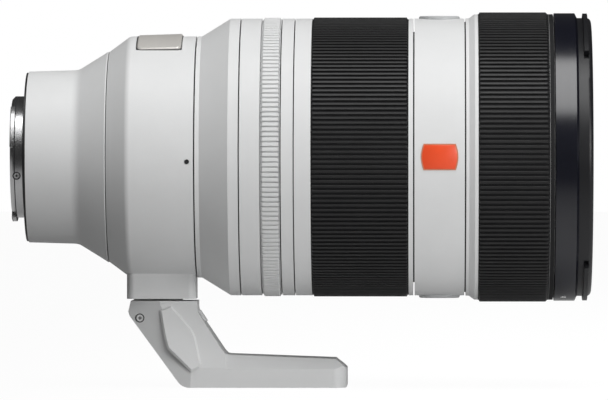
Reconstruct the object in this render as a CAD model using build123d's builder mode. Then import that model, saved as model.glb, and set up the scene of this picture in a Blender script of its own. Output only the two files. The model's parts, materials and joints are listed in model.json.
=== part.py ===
from build123d import *

import os
from math import atan2, copysign, cos, degrees, radians, sin, sqrt, tan

# A fast telephoto zoom lens with a turning tripod collar and a foot that slides off.
# X runs along the optical axis towards the subject, Z points up and Y is across.
# The origin is the middle of the mounting flange. Sizes are in millimetres, angles in
# degrees; an angle about the axis is counted from +Y towards +Z.

top = 90
bottom = 270
near_side = 180
far_side = 0
full_turn = 360

# Fits and clearances shared by all pieces.
overrun = 1.0
running_fit = 0.05
body_gap = 0.3
collar_seam = 0.3
ring_seam = 0.4
wide_seam = 0.5

# Lengths of the outer rings, from the mount to the front.
gasket_thickness = 0.75
rear_tube_length = 17.65
rear_cone_length = 10.45
rear_land_length = 0.35
collar_length = 30.8
control_barrel_length = 15.3
aperture_ring_length = 14.2
index_ring_length = 4.2
zoom_ring_length = 41.6
button_barrel_length = 17.6
focus_ring_length = 30.9
trim_ring_length = 8.1
hood_ring_length = 5.0

# Outer radii.
rear_tube_r = 30.4
rear_tube_taper = 0.5
rear_cone_step = 0.1
collar_rear_share = 0.87413
collar_drop = 6.3
barrel_r = 49.2
focus_lip_rise = 0.1
focus_shoulder_rise = 1.5
trim_rise = 1.9
trim_chamfer_width = 1.6
hood_ring_step = 0.1

control_land_length = 1.5
control_cone_length = 10.2

# Inner tubes.
collar_wall = 2.9
liner_wall = 1.0
neck_wall = 2.0
tube_drop = 4.7
tube_wall = 1.7
front_tube_drop = 1.2
front_tube_wall = 2.0
spigot_share = 0.74766
spigot_wall = 2.0
spigot_length = 5.2
web_thickness = 2.7
web_bore_share = 0.60748
shoulder_setback = 9.2
rod_ring_thickness = 2.5
rod_ring_bore_share = 0.65421
front_flange_thickness = 2.6

# Bayonet mount.
bayonet_depth = 5.1
bayonet_tube_r = 21.6
bayonet_tube_wall = 2.2
bayonet_chamfer = 1.0
bayonet_plate_r = 28.6
bayonet_plate_thickness = 2.0
lug_r = 22.9
lug_length = 1.5
lug_spread = 42
lug_count = 3
gasket_r = 30.0
inner_flange_bore_r = 20.0
inner_flange_thickness = 4.5
rear_tube_wall = 2.5
rear_blend_r = 5.5
mount_screw_circle_r = 25.1
mount_screw_head_r = 1.6
mount_screw_head_height = 1.1
mount_screw_shank_r = 0.8
mount_screw_length = 5.8
mount_screw_count = 4
side_screw_setback = 2.7
side_screw_angle = 198
side_screw_r = 1.45
side_screw_length = 1.6
side_screw_sink = 0.1
contact_block_bore_r = 16.7
contact_block_length = 4.6
contact_block_spread = 84
contact_count = 11
contact_pitch = 7
contact_r = 0.55
contact_length = 1.6
contact_rise = 0.35

# Rear and focusing optics.
rear_cell_back = 3.0
rear_cell_r = 16.5
rear_cell_bore_r = 14.5
rear_cell_front_share = 0.51402
rear_cell_front_bore_share = 0.44393
rear_cell_flange_thickness = 2.5
rear_cell_front_length = 21.0
glass_fit = 0.03
rear_glass_rim = 4.5
rear_glass_inset = 0.6
rear_glass_bulge = 0.9
rear_glass_hollow = -1.6
doublet_rim = 7.0
doublet_bulge = 2.2
guide_rod_r = 1.5
guide_rod_circle_share = 0.77103
focus_cell_setback = 10.5
focus_cell_length = 8.0
focus_cell_bore_share = 0.56075
focus_cell_wall = 2.5
focus_web_thickness = 3.0
focus_web_share = 0.81542
focus_glass_rim = 4.6
focus_glass_bulge = 1.8
coil_bore_share = 0.7243
coil_length = 6.0
coil_spread = 104
magnet_wall = 1.7
magnet_length = 21.0
magnet_spread = 110
board_setback = 1.5
board_thickness = 1.6
board_bore_share = 0.65421

# Iris.
iris_setback = 23.5
iris_wall = 1.5
iris_clear_share = 0.46729
iris_rim_wall = 2.0
iris_length = 9.0
blade_count = 7
blade_thickness = 0.12
blade_pitch = 0.35
blade_first_gap = 0.6
blade_inner_share = 0.48131
blade_outer_share = 0.59346
blade_spread = 66
blade_turn = 25
blade_pad_r = 1.7
pivot_circle_share = 0.63084
pivot_r = 0.6
drive_circle_share = 0.66822
drive_pin_r = 0.5
drive_pin_angle = 9
drive_ring_gap = 0.6
drive_ring_thickness = 1.2
drive_ring_turn = 30
drive_slot_play = 0.35
drive_slot_steps = 6

# Zooming optics and cam.
zoom_turn = 72
zoom_travel = 26.0
cam_tube_wall = 1.65
cam_tube_inset = 1.0
follower_r = 2.6
follower_setback = 8.3
follower_count = 3
follower_play = 0.35
follower_root = 1.7
cam_slot_steps = 8
zoom_cell_front_setback = 12.7
zoom_cell_length = 26.0
zoom_cell_wall = 2.0
zoom_web_inset = 9.0
zoom_web_thickness = 4.0
zoom_web_bore_share = 0.70093
zoom_cup_bore_share = 0.79439
zoom_cup_wall = 2.5
zoom_cup_length = 9.0
zoom_glass_rim = 6.5
zoom_glass_bulge = 2.4
zoom_glass_hollow = -2.2

# Front optics.
front_seat_length = 9.3
front_seat_rim = 3.0
front_glass_rim = 4.0
front_glass_bulge = 5.0
front_glass_hollow = -2.0
front_doublet_rim = 8.0
front_doublet_setback = 15.0
front_doublet_bulge = 3.4
retaining_ring_length = 3.2
retaining_ring_step = 0.2
filter_rim_wall = 2.44
filter_thread_depth = 4.5
hood_corner_r = 1.6

trim_chamfer_length = 0.8

# Hood bayonet on the front ring.
hood_tab_rise = 1.6
hood_tab_base = 1.9
hood_tab_crest = 1.5
hood_tab_setback = 1.2
hood_tab_top_spread = 86
hood_tab_bottom_spread = 80
hood_recess_spread = 2.7
hood_recess_depth = 1.0
hood_recess_width = 1.7

# Collar, its boss, knob, plate and screw.
collar_lip_share = 0.9
collar_lip_length = 6.0
collar_shoulder_round = 3.0
collar_cone_length = 7.3
boss_inset = 6.3
boss_half_width = 11.5
boss_corner_r = 2.75
boss_drop = 7.4
plate_inset = 10.2
plate_length = 15.7
plate_spread = 56
plate_rear_rise = 0.5
plate_front_rise = 1.0
plate_floor_depth = 0.7
plate_groove = 0.25
click_screw_setback = 2.2
click_screw_angle = 182.3
click_screw_r = 0.75
click_screw_length = 1.9
click_screw_sink = 0.3
click_screw_play = 0.15
knob_station_share = 0.6
knob_pad_r = 9.5
knob_pad_height = 1.6
knob_r = 8.5
knob_height = 8.6
knob_grips = 12
knob_grip_r = 1.2
knob_shank_r = 2.5

# Rail of the boss and the foot that slides on it.
rail_neck_half_width = 3.4
rail_head_half_width = 5.6
rail_neck_height = 3.3
rail_head_height = 2.8
rail_inset = 2.2
rail_setback = 5.0
foot_gap = 0.7
foot_height = 30.6
foot_length = 77.7
foot_rear_inset = 0.4
foot_half_width = 17.0
foot_top_half_width = 12.0
foot_flare_start_share = 0.04
foot_flare_end_share = 0.77
foot_heel_round = 5.0
foot_toe_round = 0.7
foot_root_round = 3.0
foot_brow_round = 6.0
foot_facet_rear_half_width = 7.5
foot_edge_height = 6.7
foot_edge_rise = 3.6
foot_edge_width = 4.0
foot_edge_start = 34.8
foot_corner_r = 5.0
pad_height = 0.8
pad_chamfer = 0.7
foot_screw_r = 1.6
foot_screw_length = 2.8
foot_screw_inset = 4.2
foot_screw_drop = 6.1
foot_screw_skin = 9.0
bush_r = 5.0
bush_height = 8.5
bush_thread_r = 2.55
bush_front_inset = 17.0
bush_spacing = 20.0
release_half_width = 3.4
release_height = 3.8
release_drop = 3.4
release_reach = 3.0
release_lean = 2.5
release_flange = 1.0
release_flange_thickness = 0.6
release_pocket_length = 2.4
release_wall = 1.6
release_travel = 1.2

# Grip ribs, buttons, badge and switches.
rubber_floor_depth = 1.0
rubber_height = 1.4
zoom_rubber_inset = 5.8
zoom_rubber_length = 34.2
rib_count = 180
rib_depth = 0.55
rib_width_share = 0.5
aperture_smooth_length = 7.3
aperture_rib_length = 6.7
aperture_rib_height = 0.3
aperture_land = 2.6
aperture_relief_depth = 2.8
focus_lip_length = 1.1
focus_cone_length = 2.0
focus_land_length = 1.2
focus_rubber_length = 25.0
focus_rubber_sink = 0.7
button_r = 7.25
button_play = 0.15
button_flange = 0.65
button_flange_thickness = 0.7
button_shoulder_depth = 1.3
button_pocket_r = 8.2
button_rise = 0.85
button_round = 0.8
button_stem_r = 2.0
button_travel = 0.5
badge_length = 13.06
badge_height = 9.2
badge_bulge = 0.9
badge_rise = 0.25
badge_sink = 0.55
panel_length = 12.5
panel_half_height = 16.5
panel_block_drop = 0.6
panel_thickness = 0.8
panel_setback = 1.9
panel_corner_r = 2.0
slider_pocket_depth = 1.9
slider_pocket_half_width = 2.4
slider_pocket_half_height = 6.0
slider_slot_half_width = 1.1
slider_slot_half_height = 4.4
slider_base_half_width = 2.1
slider_base_half_height = 3.2
slider_base_thickness = 1.2
slider_knob_half_width = 0.8
slider_knob_half_height = 1.4
slider_rise = 1.1
slider_travel = 4.0
slider_offset = 8.0

# Radii that follow the barrel.
focus_lip_r = barrel_r + focus_lip_rise
focus_shoulder_r = barrel_r + focus_shoulder_rise
focus_floor_r = focus_shoulder_r - focus_rubber_sink
trim_r = barrel_r + trim_rise
trim_chamfer_r = trim_r - trim_chamfer_width
hood_ring_r = trim_chamfer_r - hood_ring_step
hood_tab_r = hood_ring_r + hood_tab_rise
filter_thread_r = hood_ring_r - filter_rim_wall
front_tube_r = barrel_r - front_tube_drop
front_bore_r = front_tube_r - front_tube_wall
front_seat_r = front_bore_r - front_seat_rim
retaining_ring_bore_r = front_seat_r - retaining_ring_step
aperture_relief_r = barrel_r - aperture_relief_depth
panel_block_face = barrel_r - panel_block_drop
rear_bore_r = rear_tube_r - rear_tube_wall
tube_r = barrel_r - tube_drop
tube_bore_r = tube_r - tube_wall
collar_r = barrel_r - collar_drop
collar_rear_r = collar_r * collar_rear_share
rear_cone_r = collar_rear_r - rear_cone_step
collar_bore_r = collar_r - collar_wall
collar_lip_bore_r = collar_bore_r * collar_lip_share
boss_bottom = collar_r + boss_drop
plate_rear_r = collar_r + plate_rear_rise
plate_front_r = collar_r + plate_front_rise
plate_floor_r = collar_r - plate_floor_depth
neck_r = collar_bore_r - liner_wall
neck_bore_r = neck_r - neck_wall
guide_rod_circle_r = tube_bore_r * guide_rod_circle_share
focus_web_r = tube_bore_r * focus_web_share
rod_ring_bore_r = tube_bore_r * rod_ring_bore_share
coil_bore_r = tube_bore_r * coil_bore_share
board_bore_r = tube_bore_r * board_bore_share
web_bore_r = tube_bore_r * web_bore_share
focus_cell_bore_r = tube_bore_r * focus_cell_bore_share
rear_cell_front_r = tube_bore_r * rear_cell_front_share
rear_cell_front_bore_r = tube_bore_r * rear_cell_front_bore_share
iris_clear_r = tube_bore_r * iris_clear_share
blade_inner_r = tube_bore_r * blade_inner_share
blade_outer_r = tube_bore_r * blade_outer_share
pivot_circle_r = tube_bore_r * pivot_circle_share
drive_circle_r = tube_bore_r * drive_circle_share
spigot_r = tube_bore_r * spigot_share
zoom_web_bore_r = tube_bore_r * zoom_web_bore_share
zoom_cup_bore_r = tube_bore_r * zoom_cup_bore_share

# Stations along the axis.
rear_x = gasket_thickness
rear_land_x = rear_x + rear_tube_length + rear_cone_length
rear_end_x = rear_land_x + rear_land_length
collar_x = rear_end_x + collar_seam
collar_end_x = collar_x + collar_length
control_x = collar_end_x + wide_seam
control_end_x = control_x + control_barrel_length
aperture_x = control_end_x + ring_seam
aperture_end_x = aperture_x + aperture_ring_length
index_x = aperture_end_x + ring_seam
index_end_x = index_x + index_ring_length
zoom_x = index_end_x + ring_seam
zoom_end_x = zoom_x + zoom_ring_length
button_x = zoom_end_x + wide_seam
button_end_x = button_x + button_barrel_length
focus_x = button_end_x + wide_seam
focus_end_x = focus_x + focus_ring_length
trim_x = focus_end_x + ring_seam
hood_x = trim_x + trim_ring_length
front_x = hood_x + hood_ring_length

lip_end_x = collar_x + collar_lip_length
neck_x = lip_end_x + body_gap
web_end_x = neck_x + web_thickness
shoulder_x = control_x + shoulder_setback
rod_end_x = shoulder_x
tube_end_x = button_end_x
front_seat_x = hood_x - front_seat_length
inner_flange_x = bayonet_plate_thickness
inner_flange_end_x = inner_flange_x + inner_flange_thickness


def draw(points):
    """Draw a closed outline; a third number at a point is the round of that corner."""
    befores = points[-1:] + points[:-1]
    afters = points[1:] + points[:1]
    leave = []
    arrive = []
    for before, here, after in zip(befores, points, afters):
        corner = Vector(here[0], here[1])
        back = (Vector(before[0], before[1]) - corner).normalized()
        ahead = (Vector(after[0], after[1]) - corner).normalized()
        if len(here) == 2:
            arrive.append(corner)
            leave.append(corner)
            continue
        half = radians(back.get_angle(ahead)) / 2
        reach = here[2] / tan(half)
        inward = (back + ahead).normalized()
        middle = corner + inward * (here[2] / sin(half) - here[2])
        arrive.append(corner + back * reach)
        leave.append(corner + ahead * reach)
        ThreePointArc(arrive[-1], middle, leave[-1])
    for start, end in zip(leave, arrive[1:] + arrive[:1]):
        Line(start, end)


def turn(points, mode=Mode.ADD):
    """Turn a closed outline of (x, radius) points about the optical axis."""
    with BuildSketch(Plane.XZ) as profile:
        with BuildLine():
            draw(points)
        make_face()
    revolve(profile.sketch, axis=Axis.X, mode=mode)


def around(angle):
    """Give the unit vector that points outward at an angle about the axis."""
    return Vector(0, cos(radians(angle)), sin(radians(angle)))


def sector(points, middle, spread, mode=Mode.ADD):
    """Turn an outline over part of a turn, centred on an angle about the axis."""
    start = middle - spread / 2
    side = Plane(origin=(0, 0, 0), x_dir=(1, 0, 0), z_dir=around(start + 90))
    with BuildSketch(side) as profile:
        with BuildLine():
            draw(points)
        make_face()
    revolve(profile.sketch, axis=Axis.X, revolution_arc=spread, mode=mode)


def facing(angle, distance, x):
    """Give the plane square to a radius, with its own x along the optical axis."""
    outward = around(angle)
    return Plane(origin=Vector(x, 0, 0) + outward * distance, x_dir=(1, 0, 0), z_dir=outward)


def peg(angle, x, radius, low, high, mode=Mode.ADD):
    """Make a round peg or hole that stands along a radius of the barrel."""
    with BuildSketch(facing(angle, low, x)) as section:
        Circle(radius)
    extrude(section.sketch, amount=high - low, mode=mode)


def pipe(x_start, x_end, inner, outer, mode=Mode.ADD):
    """Turn a plain ring between two stations."""
    turn([(x_start, inner), (x_start, outer), (x_end, outer), (x_end, inner)], mode)


def rod(x_start, x_end, radius, y, z, mode=Mode.ADD):
    """Make a round bar or hole parallel to the optical axis."""
    with BuildSketch(Plane.YZ.offset(x_start)) as section:
        with Locations((y, z)):
            Circle(radius)
    extrude(section.sketch, amount=x_end - x_start, mode=mode)


def bulged(edge_x, edge_r, bulge, share):
    """Give the point of a spherical glass face at a share of the rim radius."""
    ball = (edge_r**2 + bulge**2) / (2 * bulge)
    drop = ball - copysign(sqrt(ball**2 - (edge_r * share) ** 2), ball)
    return Vector(edge_x + bulge - drop, edge_r * share)


def glass(rim_x, rim_length, rim_r, rear_bulge, front_bulge):
    """Turn one lens element from its rim and the bulges of its two faces."""
    half_share = 0.5
    with BuildSketch(Plane.XZ) as profile:
        with BuildLine():
            front = [bulged(rim_x + rim_length, rim_r, front_bulge, s) for s in (1, half_share, 0)]
            rear = [bulged(rim_x, rim_r, -rear_bulge, s) for s in (0, half_share, 1)]
            ThreePointArc(*front)
            Line(front[2], rear[0])
            ThreePointArc(*rear)
            Line(rear[2], front[0])
        make_face()
    revolve(profile.sketch, axis=Axis.X)


def ribbed(x_start, length, bore, outer, depth, count):
    """Extrude a sleeve whose outside carries straight square ribs."""
    pitch = full_turn / count
    corners = []
    for index in range(count):
        rise = index * pitch
        fall = rise + pitch * rib_width_share
        corners += [(outer, rise), (outer, fall), (outer - depth, fall), (outer - depth, rise + pitch)]
    points = [(r * cos(radians(a)), r * sin(radians(a))) for r, a in corners]
    with BuildSketch(Plane.YZ.offset(x_start)) as section:
        with BuildLine():
            Polyline(*points, close=True)
        make_face()
        Circle(bore, mode=Mode.SUBTRACT)
    extrude(section.sketch, amount=length)


def save(piece, name):
    """Label a finished piece and write its file."""
    piece.part.label = name
    export_step(piece.part, f"parts/{name}.step")


os.makedirs("parts", exist_ok=True)

# Bayonet: plate, short tube and three lugs of one metal piece.
bayonet_bore_r = bayonet_tube_r - bayonet_tube_wall
mount_screw_angles = [45 + full_turn * n / mount_screw_count for n in range(mount_screw_count)]

with BuildPart() as mount_bayonet:
    turn([
        (-bayonet_depth, bayonet_bore_r),
        (-bayonet_depth, bayonet_tube_r - bayonet_chamfer),
        (bayonet_chamfer - bayonet_depth, bayonet_tube_r),
        (0, bayonet_tube_r),
        (0, bayonet_plate_r),
        (bayonet_plate_thickness, bayonet_plate_r),
        (bayonet_plate_thickness, bayonet_bore_r),
    ])
    for index in range(lug_count):
        sector([
            (-bayonet_depth, bayonet_tube_r - bayonet_chamfer),
            (-bayonet_depth, lug_r),
            (lug_length - bayonet_depth, lug_r),
            (lug_length - bayonet_depth, bayonet_tube_r - bayonet_chamfer),
        ], bottom + full_turn * index / lug_count, lug_spread)
    for angle in mount_screw_angles:
        spot = around(angle) * mount_screw_circle_r
        rod(0, mount_screw_head_height, mount_screw_head_r, spot.Y, spot.Z, Mode.SUBTRACT)
        rod(0, bayonet_plate_thickness + overrun, mount_screw_shank_r, spot.Y, spot.Z, Mode.SUBTRACT)
    peg(side_screw_angle, -side_screw_setback, side_screw_r,
        bayonet_tube_r - side_screw_length, bayonet_tube_r + overrun, Mode.SUBTRACT)
save(mount_bayonet, "mount_bayonet")

with BuildPart() as mount_screws:
    for angle in mount_screw_angles:
        spot = around(angle) * mount_screw_circle_r
        rod(0, mount_screw_head_height, mount_screw_head_r, spot.Y, spot.Z)
        rod(0, mount_screw_length, mount_screw_shank_r, spot.Y, spot.Z)
save(mount_screws, "mount_screws")

with BuildPart() as mount_gasket:
    pipe(0, gasket_thickness, bayonet_plate_r, gasket_r)
save(mount_gasket, "mount_gasket")

with BuildPart() as bayonet_side_screw:
    peg(side_screw_angle, -side_screw_setback, side_screw_r,
        bayonet_tube_r - side_screw_length, bayonet_tube_r - side_screw_sink)
save(bayonet_side_screw, "bayonet_side_screw")

# Electrical contacts: a block inside the tube with a row of pins along its middle.
contact_circle_r = (contact_block_bore_r + bayonet_bore_r) / 2
contact_angles = [bottom + contact_pitch * (n - (contact_count - 1) / 2) for n in range(contact_count)]

with BuildPart() as contact_block:
    sector([
        (-contact_block_length, contact_block_bore_r),
        (-contact_block_length, bayonet_bore_r),
        (0, bayonet_bore_r),
        (0, contact_block_bore_r),
    ], bottom, contact_block_spread)
    for angle in contact_angles:
        spot = around(angle) * contact_circle_r
        rod(-contact_block_length, contact_length - contact_block_length, contact_r,
            spot.Y, spot.Z, Mode.SUBTRACT)
save(contact_block, "contact_block")

with BuildPart() as contact_pins:
    for angle in contact_angles:
        spot = around(angle) * contact_circle_r
        rod(-contact_block_length - contact_rise, contact_length - contact_block_length, contact_r,
            spot.Y, spot.Z)
save(contact_pins, "contact_pins")

# Rear barrel: a tube with an inner flange for the mount, opening into a cone.
spigot_x = rear_end_x - spigot_length

with BuildPart() as rear_barrel:
    turn([
        (rear_x, bayonet_plate_r),
        (rear_x, rear_tube_r),
        (rear_x + rear_tube_length, rear_tube_r + rear_tube_taper, rear_blend_r),
        (rear_land_x, rear_cone_r),
        (rear_end_x, rear_cone_r),
        (rear_end_x, spigot_r),
        (spigot_x, spigot_r),
        (spigot_x, rear_bore_r),
        (inner_flange_end_x, rear_bore_r),
        (inner_flange_end_x, inner_flange_bore_r),
        (inner_flange_x, inner_flange_bore_r),
        (inner_flange_x, bayonet_plate_r),
    ])
    for angle in mount_screw_angles:
        spot = around(angle) * mount_screw_circle_r
        rod(0, mount_screw_length, mount_screw_shank_r, spot.Y, spot.Z, Mode.SUBTRACT)
save(rear_barrel, "rear_barrel")

# Rear optical cell and its two glasses.
rear_cell_end_x = inner_flange_end_x + rear_cell_flange_thickness + rear_cell_front_length
rear_cell_step_x = inner_flange_end_x + rear_cell_flange_thickness

with BuildPart() as rear_cell:
    turn([
        (-rear_cell_back, rear_cell_bore_r),
        (-rear_cell_back, rear_cell_r),
        (inner_flange_end_x, rear_cell_r),
        (inner_flange_end_x, rear_bore_r),
        (rear_cell_step_x, rear_bore_r),
        (rear_cell_step_x, rear_cell_front_r),
        (rear_cell_end_x, rear_cell_front_r),
        (rear_cell_end_x, rear_cell_front_bore_r),
        (rear_cell_step_x, rear_cell_front_bore_r),
        (rear_cell_step_x, rear_cell_bore_r),
    ])
save(rear_cell, "rear_cell")

with BuildPart() as rear_element:
    glass(rear_glass_inset - rear_cell_back, rear_glass_rim, rear_cell_bore_r - glass_fit,
          rear_glass_hollow, rear_glass_bulge)
save(rear_element, "rear_element")

with BuildPart() as rear_doublet:
    glass(rear_cell_end_x - doublet_rim - doublet_bulge, doublet_rim,
          rear_cell_front_bore_r - glass_fit, doublet_bulge, doublet_bulge)
save(rear_doublet, "rear_doublet")

# Main tube: spigot, neck under the collar, and the wide tube that carries the rings.
follower_x = zoom_end_x - follower_setback
slot_start_x = follower_x - zoom_travel
follower_angles = [top + full_turn * n / follower_count for n in range(follower_count)]
slot_length = zoom_travel + 2 * follower_r + 2 * body_gap

with BuildPart() as main_tube:
    turn([
        (spigot_x, spigot_r - spigot_wall),
        (spigot_x, spigot_r),
        (rear_end_x, spigot_r),
        (rear_end_x, collar_lip_bore_r - body_gap),
        (neck_x, collar_lip_bore_r - body_gap),
        (neck_x, neck_r),
        (shoulder_x, neck_r),
        (shoulder_x, tube_r),
        (tube_end_x, tube_r),
        (tube_end_x, tube_bore_r),
        (shoulder_x + rod_ring_thickness, tube_bore_r),
        (shoulder_x + rod_ring_thickness, rod_ring_bore_r),
        (shoulder_x, rod_ring_bore_r),
        (shoulder_x, neck_bore_r),
        (web_end_x, neck_bore_r),
        (web_end_x, web_bore_r),
        (neck_x, web_bore_r),
        (neck_x, spigot_r - spigot_wall),
    ])
    for angle in follower_angles:
        with BuildSketch(facing(angle, tube_bore_r - overrun, (slot_start_x + follower_x) / 2)):
            SlotOverall(slot_length, 2 * (follower_r + running_fit))
        extrude(amount=tube_wall + 2 * overrun, mode=Mode.SUBTRACT)
save(main_tube, "main_tube")

with BuildPart() as collar_liner:
    pipe(web_end_x, collar_end_x - body_gap, neck_r, collar_bore_r - running_fit)
save(collar_liner, "collar_liner")

# Focusing group: a light cell on two rods, driven by a coil between magnets.
focus_cell_end_x = shoulder_x - focus_cell_setback
focus_cell_x = focus_cell_end_x - focus_cell_length
focus_web_x = focus_cell_x + (focus_cell_length - focus_web_thickness) / 2
focus_web_end_x = focus_web_x + focus_web_thickness
rod_spots = [around(angle) * guide_rod_circle_r for angle in (far_side, near_side)]
magnet_r = neck_bore_r - magnet_wall

with BuildPart() as focus_guide_rods:
    for spot in rod_spots:
        rod(web_end_x, rod_end_x, guide_rod_r, spot.Y, spot.Z)
save(focus_guide_rods, "focus_guide_rods")

with BuildPart() as focus_cell:
    turn([
        (focus_cell_x, focus_cell_bore_r),
        (focus_cell_x, focus_cell_bore_r + focus_cell_wall),
        (focus_web_x, focus_cell_bore_r + focus_cell_wall),
        (focus_web_x, focus_web_r),
        (focus_web_end_x, focus_web_r),
        (focus_web_end_x, focus_cell_bore_r + focus_cell_wall),
        (focus_cell_end_x, focus_cell_bore_r + focus_cell_wall),
        (focus_cell_end_x, focus_cell_bore_r),
    ])
    for spot in rod_spots:
        rod(focus_cell_x, focus_cell_end_x, guide_rod_r + running_fit, spot.Y, spot.Z, Mode.SUBTRACT)
save(focus_cell, "focus_cell")

with BuildPart() as focus_element:
    glass(focus_cell_x + (focus_cell_length - focus_glass_rim) / 2, focus_glass_rim,
          focus_cell_bore_r - glass_fit, focus_glass_bulge, focus_glass_bulge)
save(focus_element, "focus_element")

with BuildPart() as focus_coil:
    for angle in (top, bottom):
        sector([
            (focus_web_end_x, coil_bore_r),
            (focus_web_end_x, focus_web_r),
            (focus_web_end_x + coil_length, focus_web_r),
            (focus_web_end_x + coil_length, coil_bore_r),
        ], angle, coil_spread)
save(focus_coil, "focus_coil")

with BuildPart() as focus_magnets:
    for angle in (top, bottom):
        sector([
            (rod_end_x - magnet_length, magnet_r),
            (rod_end_x - magnet_length, neck_bore_r),
            (rod_end_x, neck_bore_r),
            (rod_end_x, magnet_r),
        ], angle, magnet_spread)
save(focus_magnets, "focus_magnets")

board_x = shoulder_x + rod_ring_thickness + board_setback
with BuildPart() as circuit_board:
    pipe(board_x, board_x + board_thickness, board_bore_r, tube_bore_r)
save(circuit_board, "circuit_board")

# Iris: a base with pivot holes, thin blades in stepped layers and a slotted drive ring.
iris_x = control_x + iris_setback
blade_x = iris_x + iris_wall + blade_first_gap
drive_ring_x = blade_x + blade_count * blade_pitch + drive_ring_gap
drive_ring_end_x = drive_ring_x + drive_ring_thickness
iris_rim_r = tube_bore_r - iris_rim_wall
blade_angles = [full_turn * n / blade_count for n in range(blade_count)]

with BuildPart() as iris_base:
    turn([
        (iris_x, iris_clear_r),
        (iris_x, tube_bore_r),
        (iris_x + iris_length, tube_bore_r),
        (iris_x + iris_length, iris_rim_r),
        (iris_x + iris_wall, iris_rim_r),
        (iris_x + iris_wall, iris_clear_r),
    ])
    for angle in blade_angles:
        spot = around(angle) * pivot_circle_r
        rod(iris_x, iris_x + iris_wall + overrun, pivot_r + running_fit, spot.Y, spot.Z, Mode.SUBTRACT)
save(iris_base, "iris_base")


def drive_spot(angle, turn_share):
    """Give the drive pin of the blade at an angle, seen from the turning drive ring."""
    pivot = Vector(pivot_circle_r, 0)
    lead = radians(drive_pin_angle)
    pin = Vector(drive_circle_r * cos(lead), drive_circle_r * sin(lead))
    swung = pivot + (pin - pivot).rotate(Axis.Z, blade_turn * turn_share)
    return swung.rotate(Axis.Z, angle - drive_ring_turn * turn_share)


drive_slot_width = 2 * (drive_pin_r + drive_slot_play)
with BuildPart() as iris_drive_ring:
    pipe(drive_ring_x, drive_ring_end_x, blade_inner_r, iris_rim_r - running_fit)
    for angle in blade_angles:
        path = [drive_spot(angle, n / drive_slot_steps) for n in range(drive_slot_steps + 1)]
        with BuildSketch(Plane.YZ.offset(drive_ring_x - overrun)):
            for start, end in zip(path, path[1:]):
                middle = (start + end) / 2
                lean = degrees(atan2(end.Y - start.Y, end.X - start.X))
                with Locations((middle.X, middle.Y)):
                    SlotCenterToCenter((end - start).length, drive_slot_width, rotation=lean)
        extrude(amount=drive_ring_thickness + 2 * overrun, mode=Mode.SUBTRACT)
save(iris_drive_ring, "iris_drive_ring")

iris_blades = []
for index, angle in enumerate(blade_angles):
    layer_x = blade_x + index * blade_pitch
    pivot_spot = around(angle) * pivot_circle_r
    drive_pin = around(angle + drive_pin_angle) * drive_circle_r
    with BuildPart() as iris_blade:
        sector([
            (layer_x, blade_inner_r),
            (layer_x, blade_outer_r),
            (layer_x + blade_thickness, blade_outer_r),
            (layer_x + blade_thickness, blade_inner_r),
        ], angle + blade_spread / 2, blade_spread)
        for spot in (pivot_spot, drive_pin):
            root = spot * ((blade_outer_r - blade_pad_r) / spot.length)
            with BuildSketch(Plane.YZ.offset(layer_x)):
                with Locations((spot.Y / 2 + root.Y / 2, spot.Z / 2 + root.Z / 2)):
                    SlotCenterToCenter((spot - root).length, 2 * blade_pad_r,
                                       rotation=degrees(atan2(spot.Z, spot.Y)))
            extrude(amount=blade_thickness)
        rod(iris_x, layer_x, pivot_r, pivot_spot.Y, pivot_spot.Z)
        rod(layer_x, drive_ring_end_x, drive_pin_r, drive_pin.Y, drive_pin.Z)
    iris_blades.append(iris_blade)
    save(iris_blade, f"iris_blade_{index + 1}")

# Control barrel: a fixed cone with the switch block on its far side.
control_cone_x = control_x + control_land_length
control_cone_end_x = control_cone_x + control_cone_length
panel_x = control_x + panel_setback
panel_mid_x = panel_x + panel_length / 2
switch_heights = [-slider_offset, slider_offset]
pocket_floor = panel_block_face - slider_pocket_depth

with BuildPart() as control_barrel:
    turn([
        (control_x, neck_r),
        (control_x, collar_r),
        (control_cone_x, collar_r),
        (control_cone_end_x, barrel_r),
        (control_end_x, barrel_r),
        (control_end_x, neck_r),
    ])
    with BuildSketch(facing(far_side, neck_r, panel_mid_x)):
        RectangleRounded(panel_length, 2 * panel_half_height, panel_corner_r)
    extrude(amount=panel_block_face - neck_r)
    with BuildSketch(facing(far_side, panel_block_face, panel_mid_x)):
        RectangleRounded(panel_length, 2 * panel_half_height, panel_corner_r)
    extrude(amount=overrun, mode=Mode.SUBTRACT)
    pipe(control_x - overrun, shoulder_x, 0, neck_r, Mode.SUBTRACT)
    pipe(shoulder_x, control_end_x + overrun, 0, tube_r, Mode.SUBTRACT)
    for height in switch_heights:
        with BuildSketch(facing(far_side, pocket_floor, panel_mid_x)):
            with Locations((0, height)):
                Rectangle(2 * slider_pocket_half_width, 2 * slider_pocket_half_height)
        extrude(amount=slider_pocket_depth + overrun, mode=Mode.SUBTRACT)
save(control_barrel, "control_barrel")

with BuildPart() as switch_panel:
    with BuildSketch(facing(far_side, panel_block_face, panel_mid_x)):
        RectangleRounded(panel_length, 2 * panel_half_height, panel_corner_r)
        for height in switch_heights:
            with Locations((0, height)):
                SlotOverall(
                    2 * slider_slot_half_height,
                    2 * slider_slot_half_width,
                    rotation=90,
                    mode=Mode.SUBTRACT,
                )
    extrude(amount=panel_thickness)
save(switch_panel, "switch_panel")

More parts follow.
